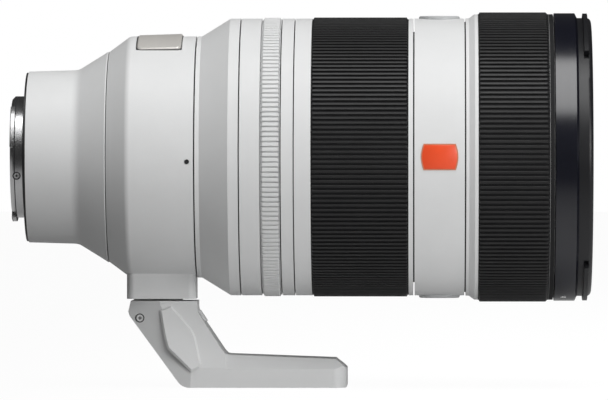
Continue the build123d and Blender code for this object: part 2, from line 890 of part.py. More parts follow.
slider_back_y = panel_block_face - body_gap - slider_base_thickness
switches = {"focus_mode_switch": switch_heights[0], "aperture_click_switch": switch_heights[1]}
for name, height in switches.items():
    with BuildPart() as slider:
        with BuildSketch(facing(far_side, slider_back_y, panel_mid_x)):
            with Locations((0, height - slider_travel / 2)):
                Rectangle(2 * slider_base_half_width, 2 * slider_base_half_height)
        extrude(amount=slider_base_thickness)
        with BuildSketch(facing(far_side, panel_block_face - body_gap, panel_mid_x)):
            with Locations((0, height - slider_travel / 2)):
                Rectangle(2 * slider_knob_half_width, 2 * slider_knob_half_height)
        extrude(amount=body_gap + panel_thickness + slider_rise)
    save(slider, name)

# Aperture ring: smooth band, ribbed band and two bearing lands inside.
aperture_rib_x = aperture_x + aperture_smooth_length

with BuildPart() as aperture_ring:
    turn([
        (aperture_x, tube_r + running_fit),
        (aperture_x, barrel_r),
        (aperture_rib_x, barrel_r),
        (aperture_rib_x, barrel_r + aperture_rib_height),
        (aperture_rib_x + aperture_rib_length, barrel_r + aperture_rib_height),
        (aperture_rib_x + aperture_rib_length, barrel_r),
        (aperture_end_x, barrel_r),
        (aperture_end_x, tube_r + running_fit),
        (aperture_end_x - aperture_land, tube_r + running_fit),
        (aperture_end_x - aperture_land, aperture_relief_r),
        (aperture_x + aperture_land, aperture_relief_r),
        (aperture_x + aperture_land, tube_r + running_fit),
    ])
save(aperture_ring, "aperture_ring")

with BuildPart() as index_ring:
    pipe(index_x, index_end_x, tube_r, barrel_r)
save(index_ring, "index_ring")

# Zoom ring with its rubber, and the cam tube that turns with it.
zoom_rubber_x = zoom_x + zoom_rubber_inset
zoom_rubber_end_x = zoom_rubber_x + zoom_rubber_length
cam_bore_r = tube_r + running_fit
cam_r = cam_bore_r + cam_tube_wall
zoom_floor_r = barrel_r - rubber_floor_depth

with BuildPart() as zoom_ring:
    turn([
        (zoom_x, cam_r),
        (zoom_x, barrel_r),
        (zoom_rubber_x, barrel_r),
        (zoom_rubber_x, zoom_floor_r),
        (zoom_rubber_end_x, zoom_floor_r),
        (zoom_rubber_end_x, barrel_r),
        (zoom_end_x, barrel_r),
        (zoom_end_x, cam_r),
    ])
save(zoom_ring, "zoom_ring")

with BuildPart() as zoom_rubber:
    crest_r = zoom_floor_r + rubber_height
    ribbed(zoom_rubber_x, zoom_rubber_length, zoom_floor_r, crest_r, rib_depth, rib_count)
save(zoom_rubber, "zoom_rubber")

with BuildPart() as cam_tube:
    pipe(zoom_x + cam_tube_inset, zoom_end_x - cam_tube_inset, cam_bore_r, cam_r)
    for angle in follower_angles:
        for index in range(cam_slot_steps):
            middle_share = (index + 0.5) / cam_slot_steps
            span = radians(zoom_turn / cam_slot_steps) * cam_r
            run = zoom_travel / cam_slot_steps
            spot = facing(angle - zoom_turn * middle_share, cam_bore_r - overrun,
                          follower_x - zoom_travel * middle_share)
            with BuildSketch(spot):
                SlotCenterToCenter(sqrt(span**2 + run**2), 2 * (follower_r + follower_play),
                                   rotation=degrees(atan2(span, -run)))
            extrude(amount=cam_tube_wall + 2 * overrun, mode=Mode.SUBTRACT)
save(cam_tube, "cam_tube")

# Zooming group: a cell that slides in the main tube, its glass and three followers.
zoom_cell_x = follower_x - (zoom_cell_length - zoom_cell_front_setback) / 2 + running_fit
zoom_cell_end_x = zoom_cell_x + zoom_cell_length
zoom_cell_r = tube_bore_r - running_fit
zoom_web_x = zoom_cell_x + zoom_web_inset
zoom_cup_end_x = zoom_web_x + zoom_web_thickness + zoom_cup_length

with BuildPart() as zoom_cell:
    turn([
        (zoom_cell_x, zoom_cell_r - zoom_cell_wall),
        (zoom_cell_x, zoom_cell_r),
        (zoom_cell_end_x, zoom_cell_r),
        (zoom_cell_end_x, zoom_cell_r - zoom_cell_wall),
        (zoom_web_x + zoom_web_thickness, zoom_cell_r - zoom_cell_wall),
        (zoom_web_x + zoom_web_thickness, zoom_cup_bore_r + zoom_cup_wall),
        (zoom_cup_end_x, zoom_cup_bore_r + zoom_cup_wall),
        (zoom_cup_end_x, zoom_cup_bore_r),
        (zoom_web_x + zoom_web_thickness, zoom_cup_bore_r),
        (zoom_web_x + zoom_web_thickness, zoom_web_bore_r),
        (zoom_web_x, zoom_web_bore_r),
        (zoom_web_x, zoom_cell_r - zoom_cell_wall),
    ])
    for angle in follower_angles:
        peg(angle, follower_x, follower_r, zoom_cell_r - follower_root, tube_r, Mode.SUBTRACT)
save(zoom_cell, "zoom_cell")

with BuildPart() as cam_followers:
    for angle in follower_angles:
        peg(angle, follower_x, follower_r, zoom_cell_r - follower_root, cam_r - body_gap)
save(cam_followers, "cam_followers")

with BuildPart() as zoom_front_element:
    glass(zoom_web_x + zoom_web_thickness, zoom_glass_rim, zoom_cup_bore_r - glass_fit,
          zoom_glass_hollow, zoom_glass_bulge)
save(zoom_front_element, "zoom_front_element")

# Button barrel: three stepped pockets for the focus hold buttons and a flat seat for the badge.
button_mid_x = button_x + button_barrel_length / 2
button_angles = {"top": top, "left": far_side, "bottom": bottom}
shoulder_r = barrel_r - button_shoulder_depth
flange_top_r = shoulder_r - body_gap
badge_floor_r = barrel_r - badge_sink


def badge_outline(room):
    """Draw the badge: straight top and bottom, sides that bulge outward, with some room."""
    half_length = badge_length / 2 + room
    half_height = badge_height / 2 + room
    side_x = half_length - badge_bulge
    Line((-side_x, half_height), (side_x, half_height))
    ThreePointArc((side_x, half_height), (half_length, 0), (side_x, -half_height))
    Line((side_x, -half_height), (-side_x, -half_height))
    ThreePointArc((-side_x, -half_height), (-half_length, 0), (-side_x, half_height))


with BuildPart() as button_barrel:
    pipe(button_x, button_end_x, tube_r, barrel_r)
    with BuildSketch(facing(near_side, 0, button_mid_x)) as seat:
        with BuildLine():
            badge_outline(0)
        make_face()
    extrude(seat.sketch, amount=barrel_r + overrun, mode=Mode.SUBTRACT)
    pipe(button_x, button_end_x, tube_r, badge_floor_r)
    for angle in button_angles.values():
        peg(angle, button_mid_x, button_pocket_r, tube_r - overrun, shoulder_r, Mode.SUBTRACT)
        peg(angle, button_mid_x, button_r + button_play, tube_r, barrel_r + overrun, Mode.SUBTRACT)
save(button_barrel, "button_barrel")

with BuildPart() as side_badge:
    pipe(button_x, button_end_x, badge_floor_r, barrel_r + badge_rise)
    with BuildSketch(facing(near_side, 0, button_mid_x)) as outline:
        with BuildLine():
            badge_outline(0)
        make_face()
    extrude(outline.sketch, amount=barrel_r + overrun, mode=Mode.INTERSECT)
save(side_badge, "side_badge")

flange_foot_r = flange_top_r - button_flange_thickness
for side, angle in button_angles.items():
    with BuildPart() as button:
        peg(angle, button_mid_x, button_r, flange_foot_r, barrel_r + button_rise)
        fillet(button.faces().sort_by(SortBy.DISTANCE)[-1].edges(), button_round)
        peg(angle, button_mid_x, button_r + button_flange, flange_foot_r, flange_top_r)
        peg(angle, button_mid_x, button_stem_r, tube_r + button_travel + body_gap, flange_top_r)
    save(button, f"focus_hold_button_{side}")

# Front tube and the focus ring that turns on it.
focus_rubber_x = focus_x + focus_lip_length + focus_cone_length + focus_land_length
focus_rubber_end_x = focus_rubber_x + focus_rubber_length

with BuildPart() as front_tube:
    turn([
        (tube_end_x, tube_bore_r),
        (tube_end_x, front_tube_r),
        (hood_x, front_tube_r),
        (hood_x, front_bore_r),
        (front_seat_x, front_bore_r),
        (front_seat_x, front_seat_r),
        (tube_end_x + front_flange_thickness, front_seat_r),
        (tube_end_x + front_flange_thickness, tube_bore_r),
    ])
save(front_tube, "front_tube")

with BuildPart() as focus_ring:
    turn([
        (focus_x, front_tube_r + running_fit),
        (focus_x, focus_lip_r),
        (focus_x + focus_lip_length, focus_lip_r),
        (focus_x + focus_lip_length + focus_cone_length, focus_shoulder_r),
        (focus_rubber_x, focus_shoulder_r),
        (focus_rubber_x, focus_floor_r),
        (focus_rubber_end_x, focus_floor_r),
        (focus_rubber_end_x, focus_shoulder_r),
        (focus_end_x, focus_shoulder_r),
        (focus_end_x, front_tube_r + running_fit),
    ])
save(focus_ring, "focus_ring")

with BuildPart() as focus_rubber:
    crest_r = focus_floor_r + rubber_height
    ribbed(focus_rubber_x, focus_rubber_length, focus_floor_r, crest_r, rib_depth, rib_count)
save(focus_rubber, "focus_rubber")

# Front glasses, their retaining ring, the gloss trim ring and the ring for filters and hood.
front_glass_face_x = front_seat_x + front_glass_rim
ring_seat_share = retaining_ring_bore_r / (front_bore_r - glass_fit)
retaining_x = bulged(front_glass_face_x, front_bore_r - glass_fit, front_glass_bulge, ring_seat_share).X

with BuildPart() as front_element:
    glass(front_seat_x, front_glass_rim, front_bore_r - glass_fit, front_glass_hollow, front_glass_bulge)
save(front_element, "front_element")

with BuildPart() as front_doublet:
    glass(front_seat_x - front_doublet_setback, front_doublet_rim, front_seat_r - glass_fit,
          front_doublet_bulge, front_doublet_bulge)
save(front_doublet, "front_doublet")

with BuildPart() as front_retaining_ring:
    pipe(retaining_x, retaining_x + retaining_ring_length, retaining_ring_bore_r, front_bore_r)
save(front_retaining_ring, "front_retaining_ring")

with BuildPart() as front_trim_ring:
    turn([
        (trim_x, front_tube_r),
        (trim_x, trim_r),
        (hood_x - trim_chamfer_length, trim_r),
        (hood_x, trim_chamfer_r),
        (hood_x, front_tube_r),
    ])
save(front_trim_ring, "front_trim_ring")

tab_x = front_x - hood_tab_setback - hood_tab_base
tab_slope = (hood_tab_base - hood_tab_crest) / 2
tab_spreads = {top: hood_tab_top_spread, bottom: hood_tab_bottom_spread}

with BuildPart() as hood_mount_ring:
    turn([
        (hood_x, front_bore_r),
        (hood_x, hood_ring_r),
        (front_x, hood_ring_r, hood_corner_r),
        (front_x, filter_thread_r),
        (front_x - filter_thread_depth, filter_thread_r),
        (front_x - filter_thread_depth, front_bore_r),
    ])
    for middle, spread in tab_spreads.items():
        sector([
            (tab_x, hood_ring_r - overrun),
            (tab_x, hood_ring_r),
            (tab_x + tab_slope, hood_tab_r),
            (tab_x + tab_slope + hood_tab_crest, hood_tab_r),
            (tab_x + hood_tab_base, hood_ring_r),
            (tab_x + hood_tab_base, hood_ring_r - overrun),
        ], middle, spread)
        for side in (-1, 1):
            recess_angle = middle + side * (spread + hood_recess_spread) / 2
            sector([
                (tab_x, hood_ring_r - hood_recess_depth),
                (tab_x, hood_ring_r + overrun),
                (tab_x + hood_recess_width, hood_ring_r + overrun),
                (tab_x + hood_recess_width, hood_ring_r - hood_recess_depth),
            ], recess_angle, hood_recess_spread, Mode.SUBTRACT)
save(hood_mount_ring, "hood_mount_ring")

# Tripod collar: a turned ring with a lip, a boss with a rail below and a pad for the knob.
boss_x = collar_x + boss_inset
boss_length = collar_end_x - boss_x
boss_mid_x = boss_x + boss_length / 2
knob_x = collar_x + knob_station_share * collar_length
knob_pad_face = collar_r + knob_pad_height
name_x = collar_x + plate_inset
name_end_x = name_x + plate_length
groove_spread = degrees(2 * plate_groove / collar_r)
rail_x = boss_x + rail_inset
rail_length = boss_length - rail_inset - rail_setback
rail_mid_x = rail_x + rail_length / 2
rail_step = boss_bottom + rail_neck_height
rail_bottom = rail_step + rail_head_height
click_screw_x = collar_end_x - click_screw_setback

with BuildPart() as tripod_collar:
    turn([
        (collar_x, 0),
        (collar_x, collar_rear_r),
        (collar_x + collar_cone_length, collar_r, collar_shoulder_round),
        (collar_end_x, collar_r),
        (collar_end_x, 0),
    ])
    with BuildSketch(Plane.XY.offset(-boss_bottom)):
        with Locations((boss_mid_x, 0)):
            RectangleRounded(boss_length, 2 * boss_half_width, boss_corner_r)
    extrude(amount=boss_bottom - collar_bore_r)
    peg(far_side, knob_x, knob_pad_r, collar_bore_r, knob_pad_face)
    pipe(lip_end_x, collar_end_x + overrun, 0, collar_bore_r, Mode.SUBTRACT)
    pipe(collar_x - overrun, collar_end_x, 0, collar_lip_bore_r, Mode.SUBTRACT)
    with BuildSketch(Plane.XY.offset(-rail_step)):
        with Locations((rail_mid_x, 0)):
            Rectangle(rail_length, 2 * rail_neck_half_width)
    extrude(amount=rail_neck_height)
    with BuildSketch(Plane.XY.offset(-rail_bottom)):
        with Locations((rail_mid_x, 0)):
            Rectangle(rail_length, 2 * rail_head_half_width)
    extrude(amount=rail_head_height)
    sector([
        (name_x - plate_groove, plate_floor_r),
        (name_x - plate_groove, collar_r + overrun),
        (name_end_x + plate_groove, collar_r + overrun),
        (name_end_x + plate_groove, plate_floor_r),
    ], top, plate_spread + groove_spread, Mode.SUBTRACT)
    peg(far_side, knob_x, knob_shank_r + running_fit, 0, knob_pad_face + overrun, Mode.SUBTRACT)
    peg(click_screw_angle, click_screw_x, click_screw_r + click_screw_play,
        collar_r - click_screw_sink - click_screw_length, collar_r + overrun, Mode.SUBTRACT)
save(tripod_collar, "tripod_collar")

with BuildPart() as collar_nameplate:
    sector([
        (name_x, plate_floor_r),
        (name_x, plate_rear_r),
        (name_end_x, plate_front_r),
        (name_end_x, plate_floor_r),
    ], top, plate_spread)
save(collar_nameplate, "collar_nameplate")

with BuildPart() as collar_click_screw:
    peg(click_screw_angle, click_screw_x, click_screw_r,
        collar_r - click_screw_sink - click_screw_length, collar_r - click_screw_sink)
save(collar_click_screw, "collar_click_screw")

with BuildPart() as collar_lock_knob:
    knob_low = knob_pad_face + body_gap
    peg(far_side, knob_x, knob_r, knob_low, knob_low + knob_height)
    fillet(collar_lock_knob.faces().sort_by(Axis.Y)[-1].edges(), button_round)
    with BuildSketch(facing(far_side, knob_low - overrun, knob_x)):
        with PolarLocations(knob_r, knob_grips):
            Circle(knob_grip_r)
    extrude(amount=knob_height + 2 * overrun, mode=Mode.SUBTRACT)
    peg(far_side, knob_x, knob_shank_r, collar_bore_r + body_gap, knob_low)
save(collar_lock_knob, "collar_lock_knob")

# Foot: one side is drawn, cut and then mirrored. Places are shares of its length and height.
foot_x = boss_x + foot_rear_inset
foot_end_x = foot_x + foot_length
foot_top = boss_bottom + foot_gap
foot_bottom = foot_top + foot_height
flare_start = foot_top + foot_flare_start_share * foot_height
flare_end = foot_top + foot_flare_end_share * foot_height
slot_top = rail_step - running_fit
slot_bottom = rail_bottom + body_gap
slot_end_x = rail_x + rail_length + body_gap
foot_shares = [
    (0.0116, 0.0), (0.0, 0.124), (0.0064, 0.1765), (0.2497, 1.0, foot_heel_round),
    (1.0, 1.0, foot_toe_round), (1.0, 0.778), (0.9485, 0.670), (0.447, 0.621, foot_root_round),
    (0.3166, 0.12, foot_brow_round), (0.3166, 0.0),
]
pad_shares = [
    (0.1454, 0.111), (0.1982, 0.0556), (0.2921, 0.320), (0.3115, 0.418), (0.3372, 0.722),
    (0.3295, 0.771), (0.2909, 0.820), (0.1828, 0.552), (0.1673, 0.418),
]
facet_shares = [(0.1454, 0.111), (0.2909, 0.820), (0.0, 0.163)]
bush_spots = [foot_end_x - bush_front_inset, foot_end_x - bush_front_inset - bush_spacing]
pocket_x = slot_end_x + release_wall
release_x = pocket_x + release_travel + body_gap
release_top = foot_top + release_drop
release_bottom = release_top + release_height
foot_screw_depth = foot_top + foot_screw_drop
foot_screw_place = {side: facing(side, 0, 0).to_local_coords(Vector(0, 0, -foot_screw_depth)).Y
                    for side in (near_side, far_side)}


def foot_spot(shares):
    """Give the point of the foot's side outline at shares of its length and height."""
    return (foot_x + shares[0] * foot_length, -foot_top - shares[1] * foot_height, *shares[2:])


def slab(x_start, x_end, half_width, high, low, mode=Mode.ADD):
    """Make a block across the middle plane between two stations and two depths."""
    with BuildSketch(Plane.XY.offset(-low)) as section:
        with Locations(((x_start + x_end) / 2, 0)):
            Rectangle(x_end - x_start, 2 * half_width)
    extrude(section.sketch, amount=low - high, mode=mode)


facet_half_widths = [foot_top_half_width, foot_half_width, foot_facet_rear_half_width]
facet_spots = [foot_spot(spot) for spot in facet_shares]
facet_corners = [Vector(spot[0], -wide, spot[1]) for spot, wide in zip(facet_spots, facet_half_widths)]
facet_run = facet_corners[1] - facet_corners[0]
facet_plane = Plane(origin=facet_corners[0], x_dir=facet_run,
                    z_dir=facet_run.cross(facet_corners[2] - facet_corners[0]))
flare_width = foot_half_width - foot_top_half_width
flare_normal = Vector(0, flare_start - flare_end, flare_width).normalized()
flare_plane = Plane(origin=(0, -foot_top_half_width, -flare_start), x_dir=(1, 0, 0), z_dir=flare_normal)
flare_stretch = abs(flare_normal.Y)

with BuildPart() as side_pad:
    with BuildSketch(flare_plane):
        with BuildLine():
            draw([
                (spot[0], (spot[1] + flare_start) / flare_stretch)
                for spot in [foot_spot(shares) for shares in pad_shares]
            ])
        make_face()
    extrude(amount=pad_height)
    outer_face = side_pad.faces().sort_by(Axis((0, 0, 0), flare_normal))[-1]
    chamfer(outer_face.edges(), pad_chamfer)

with BuildPart() as tripod_foot:
    with BuildSketch(Plane.XZ):
        with BuildLine():
            draw([foot_spot(spot) for spot in foot_shares])
        make_face()
    extrude(amount=foot_half_width)
    with BuildSketch(Plane.YZ.offset(foot_x - overrun)):
        Polygon(
            (overrun, overrun - foot_top),
            (-foot_top_half_width, overrun - foot_top),
            (-foot_top_half_width, -flare_start),
            (-foot_half_width, -flare_end),
            (-foot_half_width, -foot_bottom - overrun),
            (overrun, -foot_bottom - overrun),
            align=None,
        )
    extrude(amount=foot_length + 2 * overrun, mode=Mode.INTERSECT)
    with BuildSketch(Plane.XY.offset(-foot_bottom - overrun)):
        with BuildLine():
            draw([
                (foot_x - overrun, overrun),
                (foot_x - overrun, -foot_half_width),
                (foot_end_x, -foot_half_width, foot_corner_r),
                (foot_end_x, overrun),
            ])
        make_face()
    extrude(amount=foot_height + 2 * overrun, mode=Mode.INTERSECT)
    split(bisect_by=facet_plane, keep=Keep.TOP)
    add(side_pad.part)
    with BuildSketch(Plane.YZ.offset(foot_x + foot_edge_start)):
        edge_slope = foot_edge_rise / foot_edge_width
        edge_top = foot_height - foot_edge_height
        Polygon(
            (-foot_half_width - overrun, -foot_bottom + foot_edge_height - overrun * edge_slope),
            (-foot_half_width - overrun, -foot_bottom + foot_edge_height + edge_top),
            (-foot_half_width + edge_top / edge_slope, -foot_bottom + foot_edge_height + edge_top),
            align=None,
        )
    extrude(amount=foot_length, mode=Mode.SUBTRACT)
    mirror(about=Plane.XZ)
    slab(foot_x - overrun, slot_end_x, rail_neck_half_width + 2 * running_fit, foot_top - overrun, slot_top,
         Mode.SUBTRACT)
    slab(foot_x - overrun, slot_end_x, rail_head_half_width + 2 * running_fit, slot_top, slot_bottom,
         Mode.SUBTRACT)
    slab(pocket_x, pocket_x + release_pocket_length, release_half_width + release_flange + body_gap,
         release_top - body_gap, release_bottom + body_gap, Mode.SUBTRACT)
    slab(pocket_x, foot_end_x, release_half_width + body_gap, release_top - body_gap,
         release_bottom + body_gap, Mode.SUBTRACT)
    for side in (near_side, far_side):
        with BuildSketch(facing(side, foot_screw_skin - foot_screw_length, foot_x + foot_screw_inset)):
            with Locations((0, foot_screw_place[side])):
                Circle(foot_screw_r)
        extrude(amount=foot_half_width, mode=Mode.SUBTRACT)
    for x in bush_spots:
        with BuildSketch(Plane.XY.offset(-foot_bottom)):
            with Locations((x, 0)):
                Circle(bush_r)
        extrude(amount=bush_height, mode=Mode.SUBTRACT)
save(tripod_foot, "tripod_foot")

with BuildPart() as foot_side_screws:
    for side in (near_side, far_side):
        with BuildSketch(facing(side, foot_screw_skin - foot_screw_length, foot_x + foot_screw_inset)):
            with Locations((0, foot_screw_place[side])):
                Circle(foot_screw_r)
        extrude(amount=foot_screw_length)
save(foot_side_screws, "foot_side_screws")

with BuildPart() as tripod_bushes:
    for x in bush_spots:
        with BuildSketch(Plane.XY.offset(-foot_bottom)):
            with Locations((x, 0)):
                Circle(bush_r)
                Circle(bush_thread_r, mode=Mode.SUBTRACT)
        extrude(amount=bush_height)
save(tripod_bushes, "tripod_bushes")

with BuildPart() as foot_release_button:
    with BuildSketch(Plane.XZ):
        with BuildLine():
            draw([
                (release_x, -release_bottom),
                (release_x, -release_top),
                (release_x + release_reach, -release_top),
                (release_x + release_reach + release_lean, -release_bottom),
            ])
        make_face()
    extrude(amount=release_half_width, both=True)
    slab(release_x, release_x + release_flange_thickness, release_half_width + release_flange,
         release_top, release_bottom)
save(foot_release_button, "foot_release_button")
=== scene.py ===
"""A white telephoto zoom lens on its tripod foot, dressed piece by piece in a plain studio."""

import json
import logging
import math
from collections.abc import Callable
from dataclasses import dataclass
from enum import Enum

import bmesh
import bpy
from mathutils import Matrix, Vector


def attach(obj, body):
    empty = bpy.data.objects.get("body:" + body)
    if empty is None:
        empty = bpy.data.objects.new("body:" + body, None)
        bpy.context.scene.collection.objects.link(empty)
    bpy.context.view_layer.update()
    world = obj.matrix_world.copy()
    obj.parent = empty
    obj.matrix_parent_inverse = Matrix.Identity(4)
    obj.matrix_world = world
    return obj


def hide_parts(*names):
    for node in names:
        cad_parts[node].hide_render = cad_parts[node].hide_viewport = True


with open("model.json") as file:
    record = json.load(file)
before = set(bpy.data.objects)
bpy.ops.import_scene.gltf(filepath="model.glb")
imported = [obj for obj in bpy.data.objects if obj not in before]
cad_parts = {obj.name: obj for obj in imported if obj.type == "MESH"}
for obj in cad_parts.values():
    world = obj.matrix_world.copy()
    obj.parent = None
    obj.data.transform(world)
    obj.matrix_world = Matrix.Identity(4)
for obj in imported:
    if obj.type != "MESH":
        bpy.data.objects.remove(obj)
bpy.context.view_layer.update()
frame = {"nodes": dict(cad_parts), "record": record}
MM = 0.001
TURN = 2 * math.pi
# Angles about the optical axis, in degrees from +Y towards +Z.
FAR_SIDE = 0
TOP = 90
NEAR_SIDE = 180
BOTTOM = 270
# Least share of a face's normal along an axis for the face to count as turned that way.
FACING = 0.9
LEVEL = 0.999
# Points closer than this, in metres, are one point.
DOUBLED = 1e-7
log = logging.getLogger("zoom_lens")


class Body(Enum):
    """The moving groups of the lens that new pieces ride on."""

    BARREL = "barrel"
    COLLAR = "collar"
    FOOT = "foot"
    APERTURE = "aperture"
    ZOOM = "zoom"
    FOCUS = "focus"
    HOLD_TOP = "hold_button_top"
    HOLD_LEFT = "hold_button_left"
    HOLD_BOTTOM = "hold_button_bottom"


# ---- Finishes ----

# Detail and roughness of every noise texture, and how much coarser the drift of the gloss is than that of
# the colour.
NOISE_DETAIL = 4.0
NOISE_ROUGHNESS = 0.6
GLOSS_COARSENESS = 3
# The stretch of the noise over which the colour runs from its darker to its lighter tone.
DRIFT_START = 0.3
DRIFT_END = 0.7
GRAIN_STRENGTH = 0.5


@dataclass(frozen=True)
class Finish:
    """A surface finish: its colour, its gloss and the size of its grain.

    Sizes of grain are in repeats per metre, depths in metres.
    """

    name: str
    colour: tuple[float, float, float]
    roughness: float
    metallic: float = 0.0
    specular: float = 0.5
    coat: float = 0.0
    coat_roughness: float = 0.04
    grain: float = 2600.0
    grain_depth: float = 0.000012
    mottling: float = 0.03
    mottle_size: float = 90.0
    gloss_change: float = 0.05
    stretch: tuple[float, float, float] = (1.0, 1.0, 1.0)

    def material(self) -> bpy.types.Material:
        """Build the node material of this finish, once.

        Returns:
            The material, shared by every piece with this finish.
        """
        title = f"{self.name}_finish"
        found = bpy.data.materials.get(title)
        if found:
            return found
        made = bpy.data.materials.new(title)
        made.use_nodes = True
        tree = made.node_tree
        shader = tree.nodes["Principled BSDF"]
        place = tree.nodes.new("ShaderNodeTexCoord")
        mapping = tree.nodes.new("ShaderNodeMapping")
        mapping.inputs["Scale"].default_value = self.stretch
        tree.links.new(place.outputs["Object"], mapping.inputs["Vector"])
        self._colour(tree, mapping, shader)
        self._gloss(tree, mapping, shader)
        self._grain(tree, mapping, shader)
        shader.inputs["Metallic"].default_value = self.metallic
        shader.inputs["Specular IOR Level"].default_value = self.specular
        shader.inputs["Coat Weight"].default_value = self.coat
        shader.inputs["Coat Roughness"].default_value = self.coat_roughness
        return made

    def _noise(self, tree: bpy.types.NodeTree, mapping: bpy.types.Node, scale: float) -> bpy.types.Node:
        """Add a noise texture of one scale, read in the piece's own place.

        Args:
            tree: The node tree that gets it.
            mapping: The node that gives the place.
            scale: Repeats per metre.

        Returns:
            The noise node.
        """
        noise = tree.nodes.new("ShaderNodeTexNoise")
        noise.inputs["Scale"].default_value = scale
        noise.inputs["Detail"].default_value = NOISE_DETAIL
        noise.inputs["Roughness"].default_value = NOISE_ROUGHNESS
        tree.links.new(mapping.outputs["Vector"], noise.inputs["Vector"])
        return noise

    def _colour(self, tree: bpy.types.NodeTree, mapping: bpy.types.Node, shader: bpy.types.Node) -> None:
        """Let the colour drift a little over the surface.

        Args:
            tree: The node tree of the finish.
            mapping: The node that gives the place.
            shader: The node that the result goes into.
        """
        noise = self._noise(tree, mapping, self.mottle_size)
        ramp = tree.nodes.new("ShaderNodeValToRGB")
        low = [channel * (1 - self.mottling) for channel in self.colour]
        high = [min(1.0, channel * (1 + self.mottling)) for channel in self.colour]
        ramp.color_ramp.elements[0].position = DRIFT_START
        ramp.color_ramp.elements[0].color = (*low, 1)
        ramp.color_ramp.elements[1].position = DRIFT_END
        ramp.color_ramp.elements[1].color = (*high, 1)
        tree.links.new(noise.outputs["Fac"], ramp.inputs["Fac"])
        tree.links.new(ramp.outputs["Color"], shader.inputs["Base Color"])

    def _gloss(self, tree: bpy.types.NodeTree, mapping: bpy.types.Node, shader: bpy.types.Node) -> None:
        """Let the roughness drift a little, as handled surfaces do.

        Args:
            tree: The node tree of the finish.
            mapping: The node that gives the place.
            shader: The node that the result goes into.
        """
        noise = self._noise(tree, mapping, self.mottle_size * GLOSS_COARSENESS)
        spread = tree.nodes.new("ShaderNodeMapRange")
        spread.inputs["To Min"].default_value = max(0.0, self.roughness - self.gloss_change)
        spread.inputs["To Max"].default_value = min(1.0, self.roughness + self.gloss_change)
        tree.links.new(noise.outputs["Fac"], spread.inputs["Value"])
        tree.links.new(spread.outputs["Result"], shader.inputs["Roughness"])

    def _grain(self, tree: bpy.types.NodeTree, mapping: bpy.types.Node, shader: bpy.types.Node) -> None:
        """Raise the fine grain of the surface.

        Args:
            tree: The node tree of the finish.
            mapping: The node that gives the place.
            shader: The node that the result goes into.
        """
        noise = self._noise(tree, mapping, self.grain)
        bump = tree.nodes.new("ShaderNodeBump")
        bump.inputs["Strength"].default_value = GRAIN_STRENGTH
        bump.inputs["Distance"].default_value = self.grain_depth
        tree.links.new(noise.outputs["Fac"], bump.inputs["Height"])
        tree.links.new(bump.outputs["Normal"], shader.inputs["Normal"])


@dataclass(frozen=True)
class CoatedGlass:
    """Optical glass with a thin coating that tints its reflections."""

    name: str
    tint: tuple[float, float, float]
    index: float = 1.6
    body_dark: tuple[float, float, float] = (0.82, 0.86, 0.88)
    body_light: tuple[float, float, float] = (0.88, 0.91, 0.93)
    cloud_size: float = 25.0
    polish: float = 0.02
    coat: float = 0.6

    def material(self) -> bpy.types.Material:
        """Build the glass material, once.

        Returns:
            The material, shared by every piece of this glass.
        """
        title = f"{self.name}_finish"
        found = bpy.data.materials.get(title)
        if found:
            return found
        made = bpy.data.materials.new(title)
        made.use_nodes = True
        tree = made.node_tree
        shader = tree.nodes["Principled BSDF"]
        place = tree.nodes.new("ShaderNodeTexCoord")
        noise = tree.nodes.new("ShaderNodeTexNoise")
        noise.inputs["Scale"].default_value = self.cloud_size
        ramp = tree.nodes.new("ShaderNodeValToRGB")
        ramp.color_ramp.elements[0].color = (*self.body_dark, 1)
        ramp.color_ramp.elements[1].color = (*self.body_light, 1)
        tree.links.new(place.outputs["Object"], noise.inputs["Vector"])
        tree.links.new(noise.outputs["Fac"], ramp.inputs["Fac"])
        tree.links.new(ramp.outputs["Color"], shader.inputs["Base Color"])
        shader.inputs["Roughness"].default_value = self.polish
        shader.inputs["IOR"].default_value = self.index
        shader.inputs["Transmission Weight"].default_value = 1.0
        shader.inputs["Coat Weight"].default_value = self.coat
        shader.inputs["Coat Tint"].default_value = (*self.tint, 1)
        shader.inputs["Coat Roughness"].default_value = self.polish
        return made


WHITE_PAINT = Finish("white_paint", (0.76, 0.765, 0.765), 0.5, specular=0.4, grain=1700,
                     grain_depth=0.00004, mottling=0.012)
BARE_PLATE = Finish("satin_plate", (0.80, 0.775, 0.735), 0.38, metallic=0.4, grain=2400, mottling=0.05,
                    stretch=(1.0, 0.06, 0.06))
GRIP_RUBBER = Finish("grip_rubber", (0.0155, 0.0155, 0.016), 0.48, specular=0.42, grain=3500, mottling=0.12)
# Painted shade: the floor between the grip ribs, and the front band, take this darker, duller copy of the
# grip rubber.
SHADED_RUBBER_FLOOR = Finish("shaded_rubber_floor", (0.012, 0.012, 0.013), 0.7, specular=0.25, grain=3500, mottling=0.1)
SATIN_BLACK = Finish("satin_black", (0.009, 0.0092, 0.011), 0.38, specular=0.5, grain=2600, mottling=0.06)
GLOSS_BLACK = Finish("gloss_black", (0.0025, 0.003, 0.0085), 0.23, specular=0.9, gloss_change=0.02,
                     grain=900, grain_depth=0.000003, mottling=0.1)
MATT_BLACK = Finish("matt_black", (0.018, 0.018, 0.019), 0.62, specular=0.35, mottling=0.08)
CHROME = Finish("turned_chrome", (0.55, 0.55, 0.555), 0.25, metallic=1.0, grain=3200, grain_depth=0.000004,
                stretch=(4.0, 0.3, 0.3), mottling=0.04)
STEEL = Finish("machined_steel", (0.52, 0.52, 0.53), 0.3, metallic=1.0, mottling=0.06)
SCREW_STEEL = Finish("screw_steel", (0.8, 0.8, 0.8), 0.4, metallic=0.25, mottling=0.04)
GOLD = Finish("gold_contact", (0.86, 0.62, 0.26), 0.24, metallic=1.0, mottling=0.05)
COPPER = Finish("copper_winding", (0.72, 0.36, 0.2), 0.35, metallic=0.9, grain=4500, stretch=(0.1, 1, 1))
BOARD = Finish("board_mask", (0.03, 0.18, 0.07), 0.35, mottling=0.2, mottle_size=400)
